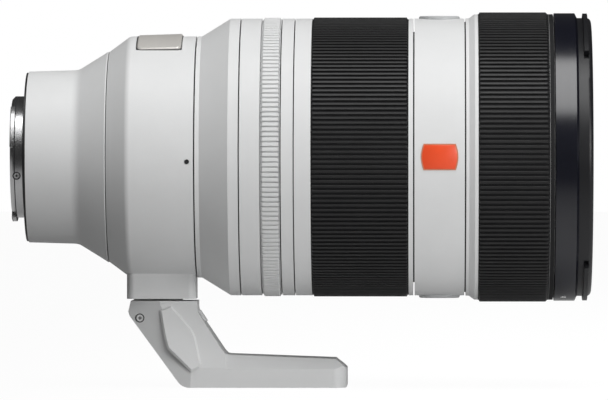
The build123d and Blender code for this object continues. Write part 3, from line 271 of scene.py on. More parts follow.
BADGE = Finish("badge_enamel", (0.9, 0.09, 0.025), 0.32, coat=0.15, grain=1200, grain_depth=0.000006,
               mottling=0.06)
BADGE_RIM = Finish("badge_rim", (0.8, 0.3, 0.17), 0.3, metallic=0.3, mottling=0.04)
BUTTON_GREY = Finish("button_grey", (0.50, 0.51, 0.515), 0.45, grain=2200, mottling=0.02)
MARK_WHITE = Finish("mark_white", (0.7, 0.7, 0.7), 0.5, mottling=0.02)
# Black of painted shade, for screw recesses and wells, the gap round the nameplate, and the bayonet tube's
# grooves and lug edges; it also colours the collar's click screw, a dark dot.
SHADE_AND_DOT_BLACK = Finish("shade_and_dot_black", (0.025, 0.025, 0.027), 0.5, mottling=0.05)
FRONT_GLASS = CoatedGlass("front_glass", (0.93, 0.985, 0.955))
INNER_GLASS = CoatedGlass("inner_glass", (0.96, 0.94, 0.99))

SLOT_FINISHES: dict[str, Finish | CoatedGlass] = {
    "white_paint": WHITE_PAINT,
    "black_paint": SATIN_BLACK,
    "gloss_black": GLOSS_BLACK,
    "black_anodised": MATT_BLACK,
    "grip_rubber": GRIP_RUBBER,
    "chrome_mount": CHROME,
    "steel": STEEL,
    "gold_contact": GOLD,
    "satin_plate": BARE_PLATE,
    "badge_orange": BADGE,
    "black_plastic": MATT_BLACK,
    "glass": INNER_GLASS,
    "board_green": BOARD,
    "copper": COPPER,
    "button_grey": BUTTON_GREY,
}


# ---- Hand work ----

# A rib's top keeps this share of its foot's width; its crest is bevelled by this many millimetres, and its
# foot is sunk this far into its floor.
RIB_TOP_SHARE = 0.74
RIB_BEVEL = 0.07
RIB_ROOT = 0.05
# A screw head's bevel, and its cross recess: lengths are shares of the head's radius.
SCREW_EDGE_SHARE = 0.14
CROSS_WIDTH_SHARE = 0.4
CROSS_DEPTH_SHARE = 0.9
CROSS_LEAST_DEPTH_SHARE = 0.01
# The recess's floor as a share of its mouth, its reach as a share of the arms, and the share of the head's
# height that it stays within.
CROSS_FLOOR_SHARE = 0.45
CROSS_REACH_SHARE = 1.01
CROSS_HEIGHT_SHARE = 0.9
# How finely screw heads and their wells are cut, and the angle in degrees up to which they are smooth.
SCREW_SIDES = 48
SCREW_EDGE_STRIPS = 3
SCREW_SMOOTH = 35
# Edges sharper than this angle are the rim of a plate.
SHARP_RIM = math.radians(60)


def clear_selection() -> None:
    """Leave edit mode and deselect everything."""
    if bpy.context.mode != "OBJECT":
        bpy.ops.object.mode_set(mode="OBJECT")
    bpy.ops.object.select_all(action="DESELECT")


def pick(obj: bpy.types.Object) -> None:
    """Make one object selected and active."""
    clear_selection()
    obj.select_set(True)
    bpy.context.view_layer.objects.active = obj


def settle(obj: bpy.types.Object) -> None:
    """Write the object's place into its mesh, so that it sits at the origin."""
    pick(obj)
    bpy.ops.object.transform_apply(location=True, rotation=True, scale=True)


def apply_modifiers(obj: bpy.types.Object) -> None:
    """Apply every modifier of an object in order."""
    pick(obj)
    for modifier in list(obj.modifiers):
        bpy.ops.object.modifier_apply(modifier=modifier.name)


def smooth(obj: bpy.types.Object, angle: float = 30.0) -> None:
    """Shade smooth, with the sharper edges kept crisp.

    Args:
        obj: The object.
        angle: The angle in degrees from which an edge is kept.
    """
    pick(obj)
    bpy.ops.object.shade_smooth_by_angle(angle=math.radians(angle))


def make_outward(obj: bpy.types.Object) -> None:
    """Merge doubled points and turn every face outward."""
    pick(obj)
    bpy.ops.object.mode_set(mode="EDIT")
    bpy.ops.mesh.select_all(action="SELECT")
    bpy.ops.mesh.remove_doubles(threshold=DOUBLED)
    bpy.ops.mesh.normals_make_consistent(inside=False)
    bpy.ops.object.mode_set(mode="OBJECT")


def turned(name: str, outline: list[tuple[float, float]], steps: int = 256) -> bpy.types.Object:
    """Turn a closed outline about the optical axis, as on a lathe.

    Args:
        name: The piece's name.
        outline: Points of (station, radius) in millimetres.
        steps: How many steps the turn has.

    Returns:
        The turned piece.
    """
    clear_selection()
    bpy.ops.mesh.primitive_plane_add(size=MM, location=(0, 0, 0))
    piece = bpy.context.object
    piece.name = name
    bpy.ops.object.mode_set(mode="EDIT")
    bpy.ops.mesh.select_mode(type="VERT")
    bpy.ops.mesh.select_all(action="SELECT")
    bpy.ops.mesh.merge(type="CENTER")
    bpy.ops.transform.translate(value=(outline[0][0] * MM, 0, outline[0][1] * MM))
    for start, end in zip(outline, outline[1:] + outline[:1]):
        step = ((end[0] - start[0]) * MM, 0, (end[1] - start[1]) * MM)
        bpy.ops.mesh.extrude_region_move(TRANSFORM_OT_translate={"value": step})
    bpy.ops.mesh.select_all(action="SELECT")
    bpy.ops.mesh.remove_doubles(threshold=DOUBLED)
    bpy.ops.mesh.select_all(action="SELECT")
    bpy.ops.mesh.spin(steps=steps, angle=TURN, center=(0, 0, 0), axis=(1, 0, 0))
    bpy.ops.object.mode_set(mode="OBJECT")
    make_outward(piece)
    smooth(piece)
    return piece


def ring_of(piece: bpy.types.Object, count: int) -> None:
    """Repeat a piece evenly round the optical axis.

    Args:
        piece: The first copy, already in its place.
        count: How many copies the full ring has.
    """
    bpy.ops.object.empty_add(location=(0, 0, 0), rotation=(TURN / count, 0, 0))
    step = bpy.context.object
    array = piece.modifiers.new("ring", "ARRAY")
    array.count = count
    array.use_relative_offset = False
    array.use_object_offset = True
    array.offset_object = step
    apply_modifiers(piece)
    bpy.data.objects.remove(step)


def faces_where(obj: bpy.types.Object, test: Callable[[Vector], bool]) -> None:
    """Select, in edit mode, the faces whose normal passes a test.

    Args:
        obj: The object in edit mode.
        test: A test of a face's normal.
    """
    mesh = bmesh.from_edit_mesh(obj.data)
    for face in mesh.faces:
        face.select_set(bool(test(face.normal)))
    mesh.select_flush_mode()
    bmesh.update_edit_mesh(obj.data)


def bevel_rim(obj: bpy.types.Object, offset: float, segments: int) -> None:
    """Bevel every sharp edge of a plate.

    Args:
        obj: The plate.
        offset: Width of the bevel in millimetres.
        segments: How many strips the bevel has.
    """
    pick(obj)
    bpy.ops.object.mode_set(mode="EDIT")
    bpy.ops.mesh.select_mode(type="EDGE")
    bpy.ops.mesh.select_all(action="DESELECT")
    bpy.ops.mesh.edges_select_sharp(sharpness=SHARP_RIM)
    bpy.ops.mesh.bevel(offset=offset * MM, segments=segments)
    bpy.ops.mesh.select_mode(type="FACE")
    bpy.ops.object.mode_set(mode="OBJECT")


def rib(name: str, start: float, length: float, floor: float, crest: float, width: float,
        ramps: tuple[float, float]) -> bpy.types.Object:
    """Model one straight rib that lies along the barrel at its top.

    Args:
        name: The piece's name.
        start: Station of its rear end in millimetres.
        length: Its length.
        floor: Radius of its foot.
        crest: Radius of its top.
        width: Its width at the foot.
        ramps: Length of the slope at its rear and front end.

    Returns:
        The rib, with its place in its mesh.
    """
    clear_selection()
    middle = (start + length / 2) * MM
    height = crest - floor
    bpy.ops.mesh.primitive_cube_add(size=1, location=(middle, 0, (floor + height / 2) * MM),
                                    scale=(length * MM, width * MM, height * MM))
    piece = bpy.context.object
    piece.name = name
    settle(piece)
    bpy.ops.object.mode_set(mode="EDIT")
    faces_where(piece, lambda normal: normal.z > FACING)
    top_length = length - ramps[0] - ramps[1]
    bpy.ops.transform.resize(value=(top_length / length, RIB_TOP_SHARE, 1))
    bpy.ops.transform.translate(value=((ramps[0] - ramps[1]) / 2 * MM, 0, 0))
    bpy.ops.mesh.bevel(offset=RIB_BEVEL * MM, segments=1)
    faces_where(piece, lambda normal: normal.z < -FACING)
    bpy.ops.mesh.delete(type="ONLY_FACE")
    bpy.ops.object.mode_set(mode="OBJECT")
    return piece


def tube_patch(name: str, points: list[tuple[float, float]], radius: float, middle: float, strips: int,
               thickness: float) -> bpy.types.Object:
    """Wrap a flat outline round the barrel as a thin plate.

    Args:
        name: The piece's name.
        points: Outline of (station, width along the arc) in millimetres.
        radius: Radius of its outer face.
        middle: Angle of its middle, in degrees from +Y towards +Z.
        strips: How many flat strips follow the curve.
        thickness: Thickness of the plate, inwards.

    Returns:
        The plate.
    """
    clear_selection()
    bpy.ops.mesh.primitive_circle_add(vertices=len(points), radius=MM, fill_type="NGON")
    piece = bpy.context.object
    piece.name = name
    for vertex, point in zip(piece.data.vertices, points):
        vertex.co = (point[0] * MM, point[1] * MM, 0)
    reach = max(abs(point[1]) for point in points)
    bpy.ops.object.mode_set(mode="EDIT")
    for index in range(1, strips):
        cut = (-reach + 2 * reach * index / strips) * MM
        bpy.ops.mesh.select_all(action="SELECT")
        bpy.ops.mesh.bisect(plane_co=(0, cut, 0), plane_no=(0, 1, 0))
    bpy.ops.object.mode_set(mode="OBJECT")
    wrap(piece, radius, middle)
    make_outward(piece)
    if sum(face.normal.dot(radial(middle)) for face in piece.data.polygons) < 0:
        pick(piece)
        bpy.ops.object.mode_set(mode="EDIT")
        bpy.ops.mesh.select_all(action="SELECT")
        bpy.ops.mesh.flip_normals()
        bpy.ops.object.mode_set(mode="OBJECT")
    wall = piece.modifiers.new("wall", "SOLIDIFY")
    wall.thickness = thickness * MM
    wall.offset = -1
    apply_modifiers(piece)
    return piece


def wrap(piece: bpy.types.Object, radius: float, middle: float) -> None:
    """Bend a flat piece round the optical axis: its y becomes an arc, its z a height.

    Args:
        piece: The flat piece, with x along the axis.
        radius: Radius of its z zero, in millimetres.
        middle: Angle of its y zero, in degrees from +Y towards +Z.
    """
    for vertex in piece.data.vertices:
        x, y, z = vertex.co
        angle = math.radians(middle) + y / (radius * MM)
        reach = radius * MM + z
        vertex.co = (x, reach * math.cos(angle), reach * math.sin(angle))


def aimed(outward: Vector) -> Matrix:
    """Give the turn that points a piece's own z along a direction.

    Args:
        outward: The direction.

    Returns:
        The turn, as a four by four matrix.
    """
    return outward.to_track_quat("Z", "Y").to_matrix().to_4x4()


def screw(name: str, centre: Vector, outward: Vector, head: float, height: float,
          finish: Finish, recess: float) -> bpy.types.Object:
    """Model a cross-recessed screw head.

    Args:
        name: The piece's name.
        centre: Middle of its top face, in metres.
        outward: Direction that the head faces.
        head: Head radius in millimetres.
        height: Head height.
        finish: Finish of the head; the faces in its cross recess are black, painted shade.
        recess: Reach of the cross as a share of the head radius.

    Returns:
        The screw head.
    """
    clear_selection()
    bpy.ops.mesh.primitive_cylinder_add(vertices=SCREW_SIDES, radius=head * MM, depth=height * MM,
                                        location=(0, 0, -height / 2 * MM))
    piece = bpy.context.object
    piece.name = name
    settle(piece)
    bpy.ops.object.mode_set(mode="EDIT")
    faces_where(piece, lambda normal: normal.z > FACING)
    bpy.ops.mesh.bevel(offset=SCREW_EDGE_SHARE * head * MM, segments=SCREW_EDGE_STRIPS)
    bpy.ops.object.mode_set(mode="OBJECT")
    arms = []
    for angle in (0, TURN / 4):
        bpy.ops.mesh.primitive_cube_add(size=1, location=(0, 0, 0), rotation=(0, 0, angle),
                                        scale=(2 * recess * head * MM, CROSS_WIDTH_SHARE * head * MM,
                                               CROSS_DEPTH_SHARE * head * MM))
        arm = bpy.context.object
        settle(arm)
        bpy.ops.object.mode_set(mode="EDIT")
        faces_where(arm, lambda normal: normal.z < -FACING)
        bpy.ops.transform.resize(value=(CROSS_FLOOR_SHARE, CROSS_FLOOR_SHARE, 1), orient_type="GLOBAL")
        bpy.ops.object.mode_set(mode="OBJECT")
        arms.append(arm)
    for arm in arms:
        cross = piece.modifiers.new("cross", "BOOLEAN")
        cross.operation = "DIFFERENCE"
        cross.object = arm
        apply_modifiers(piece)
        bpy.data.objects.remove(arm)
    # The faces inside the cross recess take black: painted shade.
    for side in (finish, SHADE_AND_DOT_BLACK):
        piece.data.materials.append(side.material())
    for face in piece.data.polygons:
        within = face.center.xy.length < CROSS_REACH_SHARE * recess * head * MM
        below = face.center.z < -CROSS_LEAST_DEPTH_SHARE * head * MM
        above_foot = face.center.z > -CROSS_HEIGHT_SHARE * height * MM
        face.material_index = int(within and below and above_foot)
    piece.matrix_world = Matrix.Translation(centre) @ aimed(outward)
    settle(piece)
    smooth(piece, SCREW_SMOOTH)
    return piece


def radial(angle: float) -> Vector:
    """Give the direction away from the optical axis at an angle.

    Args:
        angle: The angle in degrees from +Y towards +Z.

    Returns:
        The direction, of length one.
    """
    return Vector((0, math.cos(math.radians(angle)), math.sin(math.radians(angle))))


def dress(piece: bpy.types.Object, finish: Finish | CoatedGlass | None, body: Body) -> None:
    """Give a new piece its finish and the body that it rides on.

    Args:
        piece: The piece.
        finish: Its finish, or None for a piece that has its materials already.
        body: The body that it rides on.
    """
    if finish:
        piece.data.materials.clear()
        piece.data.materials.append(finish.material())
    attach(piece, body.value)


def joined(pieces: list[bpy.types.Object], name: str) -> bpy.types.Object:
    """Join several pieces into one.

    Args:
        pieces: The pieces.
        name: The name of the result.

    Returns:
        The joined piece.
    """
    clear_selection()
    for piece in pieces:
        piece.select_set(True)
    bpy.context.view_layer.objects.active = pieces[0]
    bpy.ops.object.join()
    pieces[0].name = name
    return pieces[0]


# ---- The lens ----


@dataclass
class CadDress:
    """The finishes of the pieces that keep their machined shape."""

    nodes: dict[str, bpy.types.Object]
    slots: dict[str, str]
    special: dict[str, Finish | CoatedGlass]

    def build(self) -> None:
        """Give every machined piece the finish of its material slot."""
        for name, node in self.nodes.items():
            finish = self.special.get(name) or SLOT_FINISHES[self.slots[name]]
            material = finish.material()
            for place in node.material_slots:
                place.material = material
            if not node.material_slots:
                node.data.materials.append(material)


@dataclass
class Grip:
    """A rubber grip with straight ribs on a turning ring. Sizes in millimetres."""

    name: str
    replaces: str
    body: Body
    start: float
    length: float
    bore: float
    floor: float
    crest: float
    count: int
    end_width: float
    ramps: tuple[float, float]
    rib_share: float = 0.62

    def build(self) -> None:
        """Model the sleeve and its ribs and put them in place of the plain grip."""
        sleeve = turned(f"{self.name}_sleeve", [
            (self.start, self.bore),
            (self.start, self.floor),
            (self.start + self.length, self.floor),
            (self.start + self.length, self.bore),
        ])
        # The sleeve between the ribs takes the darker rubber: painted shade.
        dress(sleeve, SHADED_RUBBER_FLOOR, self.body)
        pitch = TURN * self.crest / self.count
        ribs = rib(f"{self.name}_ribs", self.start + self.end_width, self.length - 2 * self.end_width,
                   self.floor - RIB_ROOT, self.crest, pitch * self.rib_share, self.ramps)
        ring_of(ribs, self.count)
        dress(ribs, GRIP_RUBBER, self.body)
        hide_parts(self.replaces)
        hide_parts(self.replaces)


@dataclass
class FrontBand:
    """The black band that closes the focus ring in front of its rubber."""

    start: float = 185.25
    end: float = 186.78
    outer: float = 50.76
    inner: float = 50.2
    edge: float = 0.06

    def build(self) -> None:
        """Turn the band with small chamfers."""
        band = turned("focus_front_band", [
            (self.start, self.inner),
            (self.start, self.outer - self.edge),
            (self.start + self.edge, self.outer),
            (self.end - self.edge, self.outer),
            (self.end, self.outer - self.edge),
            (self.end, self.inner),
        ])
        # The band takes the darker rubber of the grip floors: painted shade.
        dress(band, SHADED_RUBBER_FLOOR, Body.FOCUS)


@dataclass
class ApertureRing:
    """The control ring with a smooth band and a band of fine ribs."""

    start: float = 76.5
    end: float = 90.7
    outer: float = 49.2
    bore: float = 46.4
    rib_start: float = 83.8
    rib_end: float = 90.5
    channel: float = 47.4
    groove: float = 48.45
    crest: float = 49.5
    count: int = 174
    edge: float = 0.12
    slope: float = 0.1
    channel_width: float = 0.9
    front_slope: float = 0.05
    rib_share: float = 0.85
    ramps: tuple[float, float] = (0.7, 0.35)

    def build(self) -> None:
        """Turn the ring and set its ribs."""
        channel_start = self.rib_start - self.slope
        channel_end = channel_start + self.channel_width
        ring = turned("aperture_ring_body", [
            (self.start, self.bore),
            (self.start, self.outer - self.edge),
            (self.start + self.edge, self.outer),
            (channel_start - self.slope, self.outer),
            (channel_start, self.channel),
            (channel_end, self.channel),
            (channel_end + 2 * self.slope, self.groove),
            (self.rib_end, self.groove),
            (self.rib_end + self.front_slope, self.outer - self.edge),
            (self.end, self.outer - self.edge),
            (self.end, self.bore),
        ])
        dress(ring, WHITE_PAINT, Body.APERTURE)
        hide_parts("aperture_ring")
        pitch = TURN * self.crest / self.count
        rear = self.rib_start + self.slope
        ribs = rib("aperture_ring_ribs", rear, self.rib_end - rear, self.groove - RIB_ROOT, self.crest,
                   pitch * self.rib_share, self.ramps)
        ring_of(ribs, self.count)
        dress(ribs, WHITE_PAINT, Body.APERTURE)
        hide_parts("aperture_ring")


@dataclass
class Nameplate:
    """The bare curved plate let into the top of the tripod collar."""

    start: float = 39.7
    length: float = 15.7
    half_arc: float = 21.2
    radius: float = 43.55
    corner: float = 1.6
    corner_steps: int = 5
    strips: int = 40
    thickness: float = 1.3
    chamfer: float = 0.42
    front_rise: float = 0.5
    # The black strip of painted shade in the gap round the plate: its width, and how far below the plate's
    # face it sits.
    gap: float = 0.3
    gap_depth: float = 0.6
    crease: float = 20.0

    def build(self) -> None:
        """Cut the plate with round corners, bend it and chamfer its edge; sink a black strip of painted
        shade in the gap round it.
        """
        plate = tube_patch("collar_plate", self._outline(), self.radius, TOP, self.strips, self.thickness)
        bevel_rim(plate, self.chamfer, 1)
        for vertex in plate.data.vertices:
            share = (vertex.co.x / MM - self.start) / self.length - 0.5
            lift = 1 + self.front_rise * share / self.radius
            vertex.co.y *= lift
            vertex.co.z *= lift
        smooth(plate, self.crease)
        dress(plate, BARE_PLATE, Body.COLLAR)
        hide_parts("collar_nameplate")
        # A black strip under the plate's edge fills the gap with painted shade.
        gap = tube_patch("collar_plate_gap_shade", self._outline(self.gap), self.radius - self.gap_depth, TOP,
                         self.strips, self.gap)
        smooth(gap, self.crease)
        dress(gap, SHADE_AND_DOT_BLACK, Body.COLLAR)
        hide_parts("collar_nameplate")

    def _outline(self, room: float = 0.0) -> list[tuple[float, float]]:
        """Give the plate's flat outline with rounded corners.

        Args:
            room: How far the outline is grown, in millimetres.

        Returns:
            Points of (station, width along the arc) in millimetres.
        """
        points = []
        middle = self.start + self.length / 2
        reach = self.corner + room
        for side_x, side_y, first in ((1, 1, 0), (-1, 1, 90), (-1, -1, 180), (1, -1, 270)):
            for step in range(self.corner_steps + 1):
                angle = math.radians(first + 90 * step / self.corner_steps)
                x = middle + side_x * (self.length / 2 - self.corner) + reach * math.cos(angle)
                y = side_y * (self.half_arc - self.corner) + reach * math.sin(angle)
                points.append((x, y))
        return points


@dataclass
class Badge:
    """The bare enamel badge with a bright rim on the near side of the barrel."""

    middle: float = 146.6
    length: float = 13.06
    height: float = 9.2
    bulge: float = 0.9
    radius: float = 49.45
    rim: float = 0.38
    rim_sink: float = 0.06
    thickness: float = 0.6
    strips: int = 12
    edge: float = 0.1
    side_steps: int = 8

    def build(self) -> None:
        """Model the rim and the enamel field inside it."""
        rim = tube_patch("badge_rim", self._outline(0), self.radius - self.rim_sink, NEAR_SIDE, self.strips,
                         self.thickness)
        dress(rim, BADGE_RIM, Body.BARREL)
        face = tube_patch("badge_field", self._outline(-self.rim), self.radius, NEAR_SIDE, self.strips,
                          self.thickness)
        bevel_rim(face, self.edge, 2)
        smooth(face)
        smooth(rim)
        dress(face, BADGE, Body.BARREL)
        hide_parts("side_badge")
        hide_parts("side_badge")

    def _outline(self, room: float) -> list[tuple[float, float]]:
        """Give the badge's flat outline: straight top and bottom, bulged sides.

        Args:
            room: How far the outline is grown, in millimetres.

        Returns:
            Points of (station, width along the arc) in millimetres.
        """
        half_length = self.length / 2 + room
        half_height = self.height / 2 + room
        points = []
        for side in (1, -1):
            for step in range(self.side_steps + 1):
                share = -1 + 2 * step / self.side_steps
                x = self.middle + side * (half_length - self.bulge * share * share)
                points.append((x, side * share * half_height))
        return points


@dataclass
class Fasteners:
    """The cross-recessed screws that hold the mount and the foot."""

    mount_circle: float = 25.1
    mount_head: float = 1.6
    mount_height: float = 1.1
    mount_cross: float = 0.62
    side_angle: float = 198.0
    side_station: float = -2.7
    side_radius: float = 21.66
    side_head: float = 1.05
    side_height: float = 1.4
    side_well: float = 1.44
    foot_station: float = 40.4
    foot_depth: float = 57.1
    foot_skin: float = 9.0
    foot_head: float = 1.27
    foot_height: float = 1.5
    foot_well: float = 1.6
    deep_cross: float = 0.7
    well_height: float = 1.4
    well_sink: float = 0.06
    well_rim: float = 0.08
    well_floor: float = 0.3

    def build(self) -> None:
        """Model each screw where its plain peg stands."""
        heads = []
        for index in range(4):
            heads.append(screw(f"mount_screw_{index + 1}", radial(45 + 90 * index) * self.mount_circle * MM,
                               Vector((-1, 0, 0)), self.mount_head, self.mount_height, STEEL,
                               self.mount_cross))
        self._set(heads, [], "mount_screws", Body.BARREL)
        direction = radial(self.side_angle)
        centre = direction * self.side_radius * MM + Vector((self.side_station * MM, 0, 0))
        side = screw("bayonet_side_screw_head", centre, direction, self.side_head, self.side_height,
                     SCREW_STEEL, self.deep_cross)
        self._set([side], [self._shade_well("bayonet_side_well", centre, direction, self.side_well)],
                  "bayonet_side_screw", Body.BARREL)
        heads, wells = [], []
        for side_y in (-1, 1):
            centre = Vector((self.foot_station, side_y * self.foot_skin, -self.foot_depth)) * MM
            outward = Vector((0, side_y, 0))
            heads.append(screw(f"foot_screw_{side_y + 2}", centre, outward, self.foot_head,
                               self.foot_height, SCREW_STEEL, self.deep_cross))
            wells.append(self._shade_well(f"foot_well_{side_y + 2}", centre, outward, self.foot_well))
        self._set(heads, wells, "foot_side_screws", Body.FOOT)

    def _set(self, heads: list[bpy.types.Object], wells: list[bpy.types.Object], node: str,
             body: Body) -> None:
        """Put a node's screw heads, and the black wells of painted shade under them, in the node's place.

        Args:
            heads: The screw heads.
            wells: Their black wells of painted shade, if they have any.
            node: The CAD node that they replace.
            body: The body that they ride on.
        """
        group = joined(heads, f"{node}_heads")
        dress(group, None, body)
        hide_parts(node)
        if wells:
            # The wells are black: painted shade.
            floor = joined(wells, f"{node}_wells")
            dress(floor, SHADE_AND_DOT_BLACK, body)
            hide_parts(node)

    def _shade_well(self, name: str, centre: Vector, outward: Vector, radius: float) -> bpy.types.Object:
        """Model the black well under a screw head: painted shade in the hole round the head.

        Args:
            name: The well's name.
            centre: Middle of the screw's top face, in metres.
            outward: Direction that the screw faces.
            radius: Well radius in millimetres.

        Returns:
            The well.
        """
        clear_selection()
        middle = -(self.well_sink + self.well_height / 2)
        bpy.ops.mesh.primitive_cylinder_add(vertices=SCREW_SIDES, radius=radius * MM,
                                            depth=self.well_height * MM, location=(0, 0, middle * MM))
        piece = bpy.context.object
        piece.name = name
        settle(piece)
        bpy.ops.object.mode_set(mode="EDIT")
        faces_where(piece, lambda normal: normal.z > FACING)
        bpy.ops.mesh.inset(thickness=self.well_rim * MM, depth=0)
        bpy.ops.mesh.inset(thickness=self.well_rim * MM, depth=-self.well_floor * MM)
        bpy.ops.object.mode_set(mode="OBJECT")
        piece.matrix_world = Matrix.Translation(centre) @ aimed(outward)
        settle(piece)
        smooth(piece, SCREW_SMOOTH)
        return piece


@dataclass
class HoldButton:
    """A round focus hold button with a shallow dished face."""

    name: str
    body: Body
    angle: float
    station: float = 146.6
    radius: float = 7.25
    top: float = 50.05
    base: float = 46.9
    sides: int = 96
    edge: float = 0.62
    edge_strips: int = 5
    dish_rings: int = 3
    dish_step: float = 1.4
    dish_drop: float = 0.07
    crease: float = 40.0

    def build(self) -> None:
        """Model the button as a disc, inset and dished, and stand it on its radius."""
        clear_selection()
        depth = self.top - self.base
        bpy.ops.mesh.primitive_cylinder_add(vertices=self.sides, radius=self.radius * MM, depth=depth * MM,
                                            location=(0, 0, -depth / 2 * MM))
        piece = bpy.context.object
        piece.name = f"{self.name}_cap"
        settle(piece)
        bpy.ops.object.mode_set(mode="EDIT")
        faces_where(piece, lambda normal: normal.z > FACING)
        bpy.ops.mesh.bevel(offset=self.edge * MM, segments=self.edge_strips)
        faces_where(piece, lambda normal: normal.z > LEVEL)
        for _ in range(self.dish_rings):
            bpy.ops.mesh.inset(thickness=self.dish_step * MM, depth=-self.dish_drop * MM)
        bpy.ops.object.mode_set(mode="OBJECT")
        direction = radial(self.angle)
        centre = direction * self.top * MM + Vector((self.station * MM, 0, 0))
        piece.matrix_world = Matrix.Translation(centre) @ aimed(direction)
        settle(piece)
        smooth(piece, self.crease)
        dress(piece, BUTTON_GREY, self.body)
        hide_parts(self.name)


@dataclass
class MountShadeLines:
    """Painted shade in the turned grooves of the bayonet tube and along the edges of its lugs."""

    radius: float = 21.6
    # The first span is a turned groove, the second the gap at the flange; both get a black band of painted
    # shade.
    grooves: tuple[tuple[float, float], ...] = ((-3.7, -3.2), (-0.85, -0.04))
    lug_radius: float = 22.9
    # Stations of the black film of painted shade near the rear edge of each lug.
    lug_edge: tuple[float, float] = (-5.09, -4.8)
    lug_angles: tuple[float, ...] = (30.0, 150.0, 270.0)
    lug_spread: float = 42.0
    lug_margin: float = 0.1
    lug_cover: float = 0.03
    lug_strips: int = 24
    cover: float = 0.02
    root: float = 0.1
    slope_share: float = 0.2
    film: float = 0.1

    def build(self) -> None:
        """Turn a thin black band of painted shade over each groove of the tube, and lay a black film of
        painted shade near the edge of each lug.
        """
        bands = []
        for index, (start, end) in enumerate(self.grooves):
            slope = (end - start) * self.slope_share
            bands.append(turned(f"tube_groove_{index + 1}", [
                (start, self.radius - self.root),
                (start + slope, self.radius + self.cover),
                (end - slope, self.radius + self.cover),
                (end, self.radius - self.root),
            ]))
        dress(joined(bands, "tube_groove_shades"), SHADE_AND_DOT_BLACK, Body.BARREL)
        half_arc = self.lug_radius * math.radians(self.lug_spread / 2) - self.lug_margin
        start, end = self.lug_edge
        outline = [(end, half_arc), (start, half_arc), (start, -half_arc), (end, -half_arc)]
        edges = [tube_patch(f"lug_edge_{index + 1}", outline, self.lug_radius + self.lug_cover, angle,
                            self.lug_strips, self.film)
                 for index, angle in enumerate(self.lug_angles)]
        dress(joined(edges, "lug_edge_shades"), SHADE_AND_DOT_BLACK, Body.BARREL)


@dataclass
class IndexDot:
    """The white index dot printed on the front trim ring."""

    name: str = "trim_index_dot"
    station: float = 190.4
    radius: float = 51.12
    angle: float = 256.0
    size: float = 0.95
    sides: int = 24
    strips: int = 4
    film: float = 0.1

    def build(self) -> None:
        """Lay the dot as a thin film on its ring."""
        points = []
        for index in range(self.sides):
            turn = TURN * index / self.sides
            points.append((self.station + self.size * math.cos(turn), self.size * math.sin(turn)))
        dot = tube_patch(self.name, points, self.radius, self.angle, self.strips, self.film)
        smooth(dot)
        dress(dot, MARK_WHITE, Body.BARREL)


@dataclass(frozen=True)
class Lamp:
    """A soft rectangular lamp that faces the middle of the lens."""

    name: str
    place: tuple[float, float, float]
    size: tuple[float, float]
    power: float
    mirrored: bool = True

    def hang(self, target: Vector) -> None:
        """Hang the lamp; unless mirrored it shows in no reflection.

        Args:
            target: The point that it faces, in metres.
        """
        data = bpy.data.lights.new(self.name, "AREA")
        data.shape = "RECTANGLE"
        data.size, data.size_y = self.size
        data.energy = self.power
        lamp = bpy.data.objects.new(self.name, data)
        lamp.visible_glossy = self.mirrored
        bpy.context.scene.collection.objects.link(lamp)
        place = Vector(self.place)
        lamp.location = place
        lamp.rotation_euler = (target - place).to_track_quat("-Z", "Y").to_euler()


LAMPS = (
    Lamp("key_lamp", (0.35, -0.87, 1.5), (0.9, 1.6), 18.2),
    Lamp("fill_lamp", (1.0, -1.15, 0.22), (0.8, 0.4), 7.0),
    Lamp("left_lamp", (-0.5, -0.45, 1.4), (0.8, 0.8), 5.0),
    Lamp("back_lamp", (0.45, 0.55, 1.4), (1.0, 1.0), 5.4, mirrored=False),
)


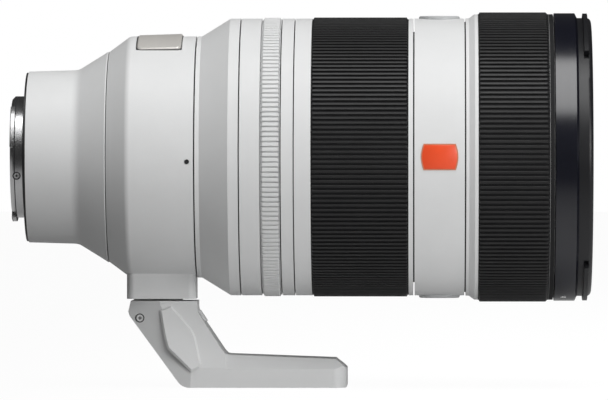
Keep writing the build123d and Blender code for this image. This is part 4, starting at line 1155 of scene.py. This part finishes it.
@dataclass
class Studio:
    """The white studio: lamps, world, floor and the camera of the photograph."""

    camera_place: tuple[float, float, float] = (0.1415, -2.5, 0.0)
    camera_target: tuple[float, float, float] = (0.09845, 0.0, -0.0153)
    focal_length: float = 416.2
    sensor_width: float = 36.0
    camera_reach: float = 50.0
    lamp_target: tuple[float, float, float] = (0.1, 0.0, 0.0)
    room_glow: float = 0.045
    floor_height: float = -0.0816
    floor_middle: tuple[float, float] = (0.1, 2.0)
    floor_size: float = 12.0
    floor_cuts: int = 4
    floor_roughness: float = 0.9
    floor_glow: float = 1.03
    floor_glow_share: float = 0.94
    # A pool of painted light on the paper: its tone runs from dark behind the mount to light below the
    # front, and lights the lens from below.
    painted_bounce_reach: tuple[float, float] = (-0.05, 0.16)
    painted_bounce_tones: tuple[float, float] = (0.05, 0.92)
    # A painted reflection: glossy rays see the paper light near the lens and dark farther out.
    painted_reflection_reach: tuple[float, float] = (-0.26, -0.07)
    painted_reflection_tones: tuple[float, float] = (0.02, 0.66)

    def build(self) -> None:
        """Set up the whole studio."""
        self._camera()
        self._world()
        self._floor()
        for lamp in LAMPS:
            lamp.hang(Vector(self.lamp_target))
        bpy.context.scene.view_settings.view_transform = "Standard"

    def _camera(self) -> None:
        """Place the camera at the photograph's station."""
        data = bpy.data.cameras.new("camera")
        data.lens = self.focal_length
        data.sensor_width = self.sensor_width
        data.clip_end = self.camera_reach
        camera = bpy.data.objects.new("camera", data)
        bpy.context.scene.collection.objects.link(camera)
        place = Vector(self.camera_place)
        camera.location = place
        camera.rotation_euler = (Vector(self.camera_target) - place).to_track_quat("-Z", "Y").to_euler()
        bpy.context.scene.camera = camera

    def _world(self) -> None:
        """Light the room evenly and show white behind the lens."""
        world = bpy.data.worlds.new("room")
        world.use_nodes = True
        tree = world.node_tree
        room = tree.nodes["Background"]
        room.inputs["Color"].default_value = (1, 1, 1, 1)
        room.inputs["Strength"].default_value = self.room_glow
        backdrop = tree.nodes.new("ShaderNodeBackground")
        backdrop.inputs["Color"].default_value = (1, 1, 1, 1)
        path = tree.nodes.new("ShaderNodeLightPath")
        mix = tree.nodes.new("ShaderNodeMixShader")
        tree.links.new(path.outputs["Is Camera Ray"], mix.inputs["Fac"])
        tree.links.new(room.outputs["Background"], mix.inputs[1])
        tree.links.new(backdrop.outputs["Background"], mix.inputs[2])
        tree.links.new(mix.outputs["Shader"], tree.nodes["World Output"].inputs["Surface"])
        bpy.context.scene.world = world

    def _floor(self) -> None:
        """Lay the white floor that keeps a faint shadow."""
        clear_selection()
        bpy.ops.mesh.primitive_plane_add(size=self.floor_size,
                                         location=(*self.floor_middle, self.floor_height))
        floor = bpy.context.object
        floor.name = "floor"
        settle(floor)
        bpy.ops.object.mode_set(mode="EDIT")
        bpy.ops.mesh.subdivide(number_cuts=self.floor_cuts)
        bpy.ops.object.mode_set(mode="OBJECT")
        floor.data.materials.append(self._paper())

    def _paper(self) -> bpy.types.Material:
        """Build the floor's paper, which glows white for the camera only; its tone is painted light on the
        lens, one run for bounce light and one for reflections.

        Returns:
            The paper's material.
        """
        paper = bpy.data.materials.new("floor_paper")
        paper.use_nodes = True
        tree = paper.node_tree
        shader = tree.nodes["Principled BSDF"]
        shader.inputs["Roughness"].default_value = self.floor_roughness
        place = tree.nodes.new("ShaderNodeTexCoord")
        split = tree.nodes.new("ShaderNodeSeparateXYZ")
        tree.links.new(place.outputs["Object"], split.inputs["Vector"])
        fade = self._fade(tree, self.painted_bounce_reach, self.painted_bounce_tones)
        tree.links.new(split.outputs["X"], fade.inputs["Value"])
        # Glossy rays see this tone instead: painted reflection.
        painted_reflection = self._fade(tree, self.painted_reflection_reach, self.painted_reflection_tones)
        tree.links.new(split.outputs["Y"], painted_reflection.inputs["Value"])
        path = tree.nodes.new("ShaderNodeLightPath")
        tone = tree.nodes.new("ShaderNodeMix")
        tone.data_type = "FLOAT"
        tree.links.new(path.outputs["Is Glossy Ray"], tone.inputs["Factor"])
        tree.links.new(fade.outputs["Result"], tone.inputs["A"])
        tree.links.new(painted_reflection.outputs["Result"], tone.inputs["B"])
        tree.links.new(tone.outputs["Result"], shader.inputs["Base Color"])
        glow = tree.nodes.new("ShaderNodeEmission")
        glow.inputs["Strength"].default_value = self.floor_glow
        share = tree.nodes.new("ShaderNodeMath")
        share.operation = "MULTIPLY"
        share.inputs[1].default_value = self.floor_glow_share
        mix = tree.nodes.new("ShaderNodeMixShader")
        tree.links.new(path.outputs["Is Camera Ray"], share.inputs[0])
        tree.links.new(share.outputs["Value"], mix.inputs["Fac"])
        tree.links.new(shader.outputs["BSDF"], mix.inputs[1])
        tree.links.new(glow.outputs["Emission"], mix.inputs[2])
        tree.links.new(mix.outputs["Shader"], tree.nodes["Material Output"].inputs["Surface"])
        return paper

    def _fade(self, tree: bpy.types.NodeTree, reach: tuple[float, float],
              tones: tuple[float, float]) -> bpy.types.Node:
        """Add a node that turns a stretch of the floor into a run of tones.

        Args:
            tree: The node tree that gets it.
            reach: Where the run starts and ends, in metres.
            tones: Its first and last tone.

        Returns:
            The node.
        """
        fade = tree.nodes.new("ShaderNodeMapRange")
        for name, value in zip(("From Min", "From Max", "To Min", "To Max"), (*reach, *tones)):
            fade.inputs[name].default_value = value
        return fade


def main() -> None:
    """Build the studio and dress the lens, piece by piece."""
    logging.basicConfig(level=logging.INFO, format="%(name)s: %(message)s")
    slots = {part["node"]: part["material_slot"] for part in frame["record"]["subparts"]}
    special: dict[str, Finish | CoatedGlass] = {
        "front_element": FRONT_GLASS,
        "collar_click_screw": SHADE_AND_DOT_BLACK,
    }
    pieces = [
        Studio(),
        CadDress(frame["nodes"], slots, special),
        Grip("zoom_grip", "zoom_rubber", Body.ZOOM, start=101.5, length=34.2, bore=48.2, floor=48.95,
             crest=49.6, count=180, end_width=0.25, ramps=(0.45, 0.45)),
        Grip("focus_grip", "focus_rubber", Body.FOCUS, start=160.2, length=25.0, bore=50.0, floor=50.75,
             crest=51.4, count=180, end_width=0.25, ramps=(0.4, 0.7)),
        FrontBand(),
        ApertureRing(),
        Nameplate(),
        Badge(),
        Fasteners(),
        HoldButton("focus_hold_button_top", Body.HOLD_TOP, TOP),
        HoldButton("focus_hold_button_left", Body.HOLD_LEFT, FAR_SIDE),
        HoldButton("focus_hold_button_bottom", Body.HOLD_BOTTOM, BOTTOM),
        MountShadeLines(),
        IndexDot(),
    ]
    for piece in pieces:
        piece.build()
        log.info("built %s", getattr(piece, "name", type(piece).__name__))


if __name__ == "__main__":
    main()
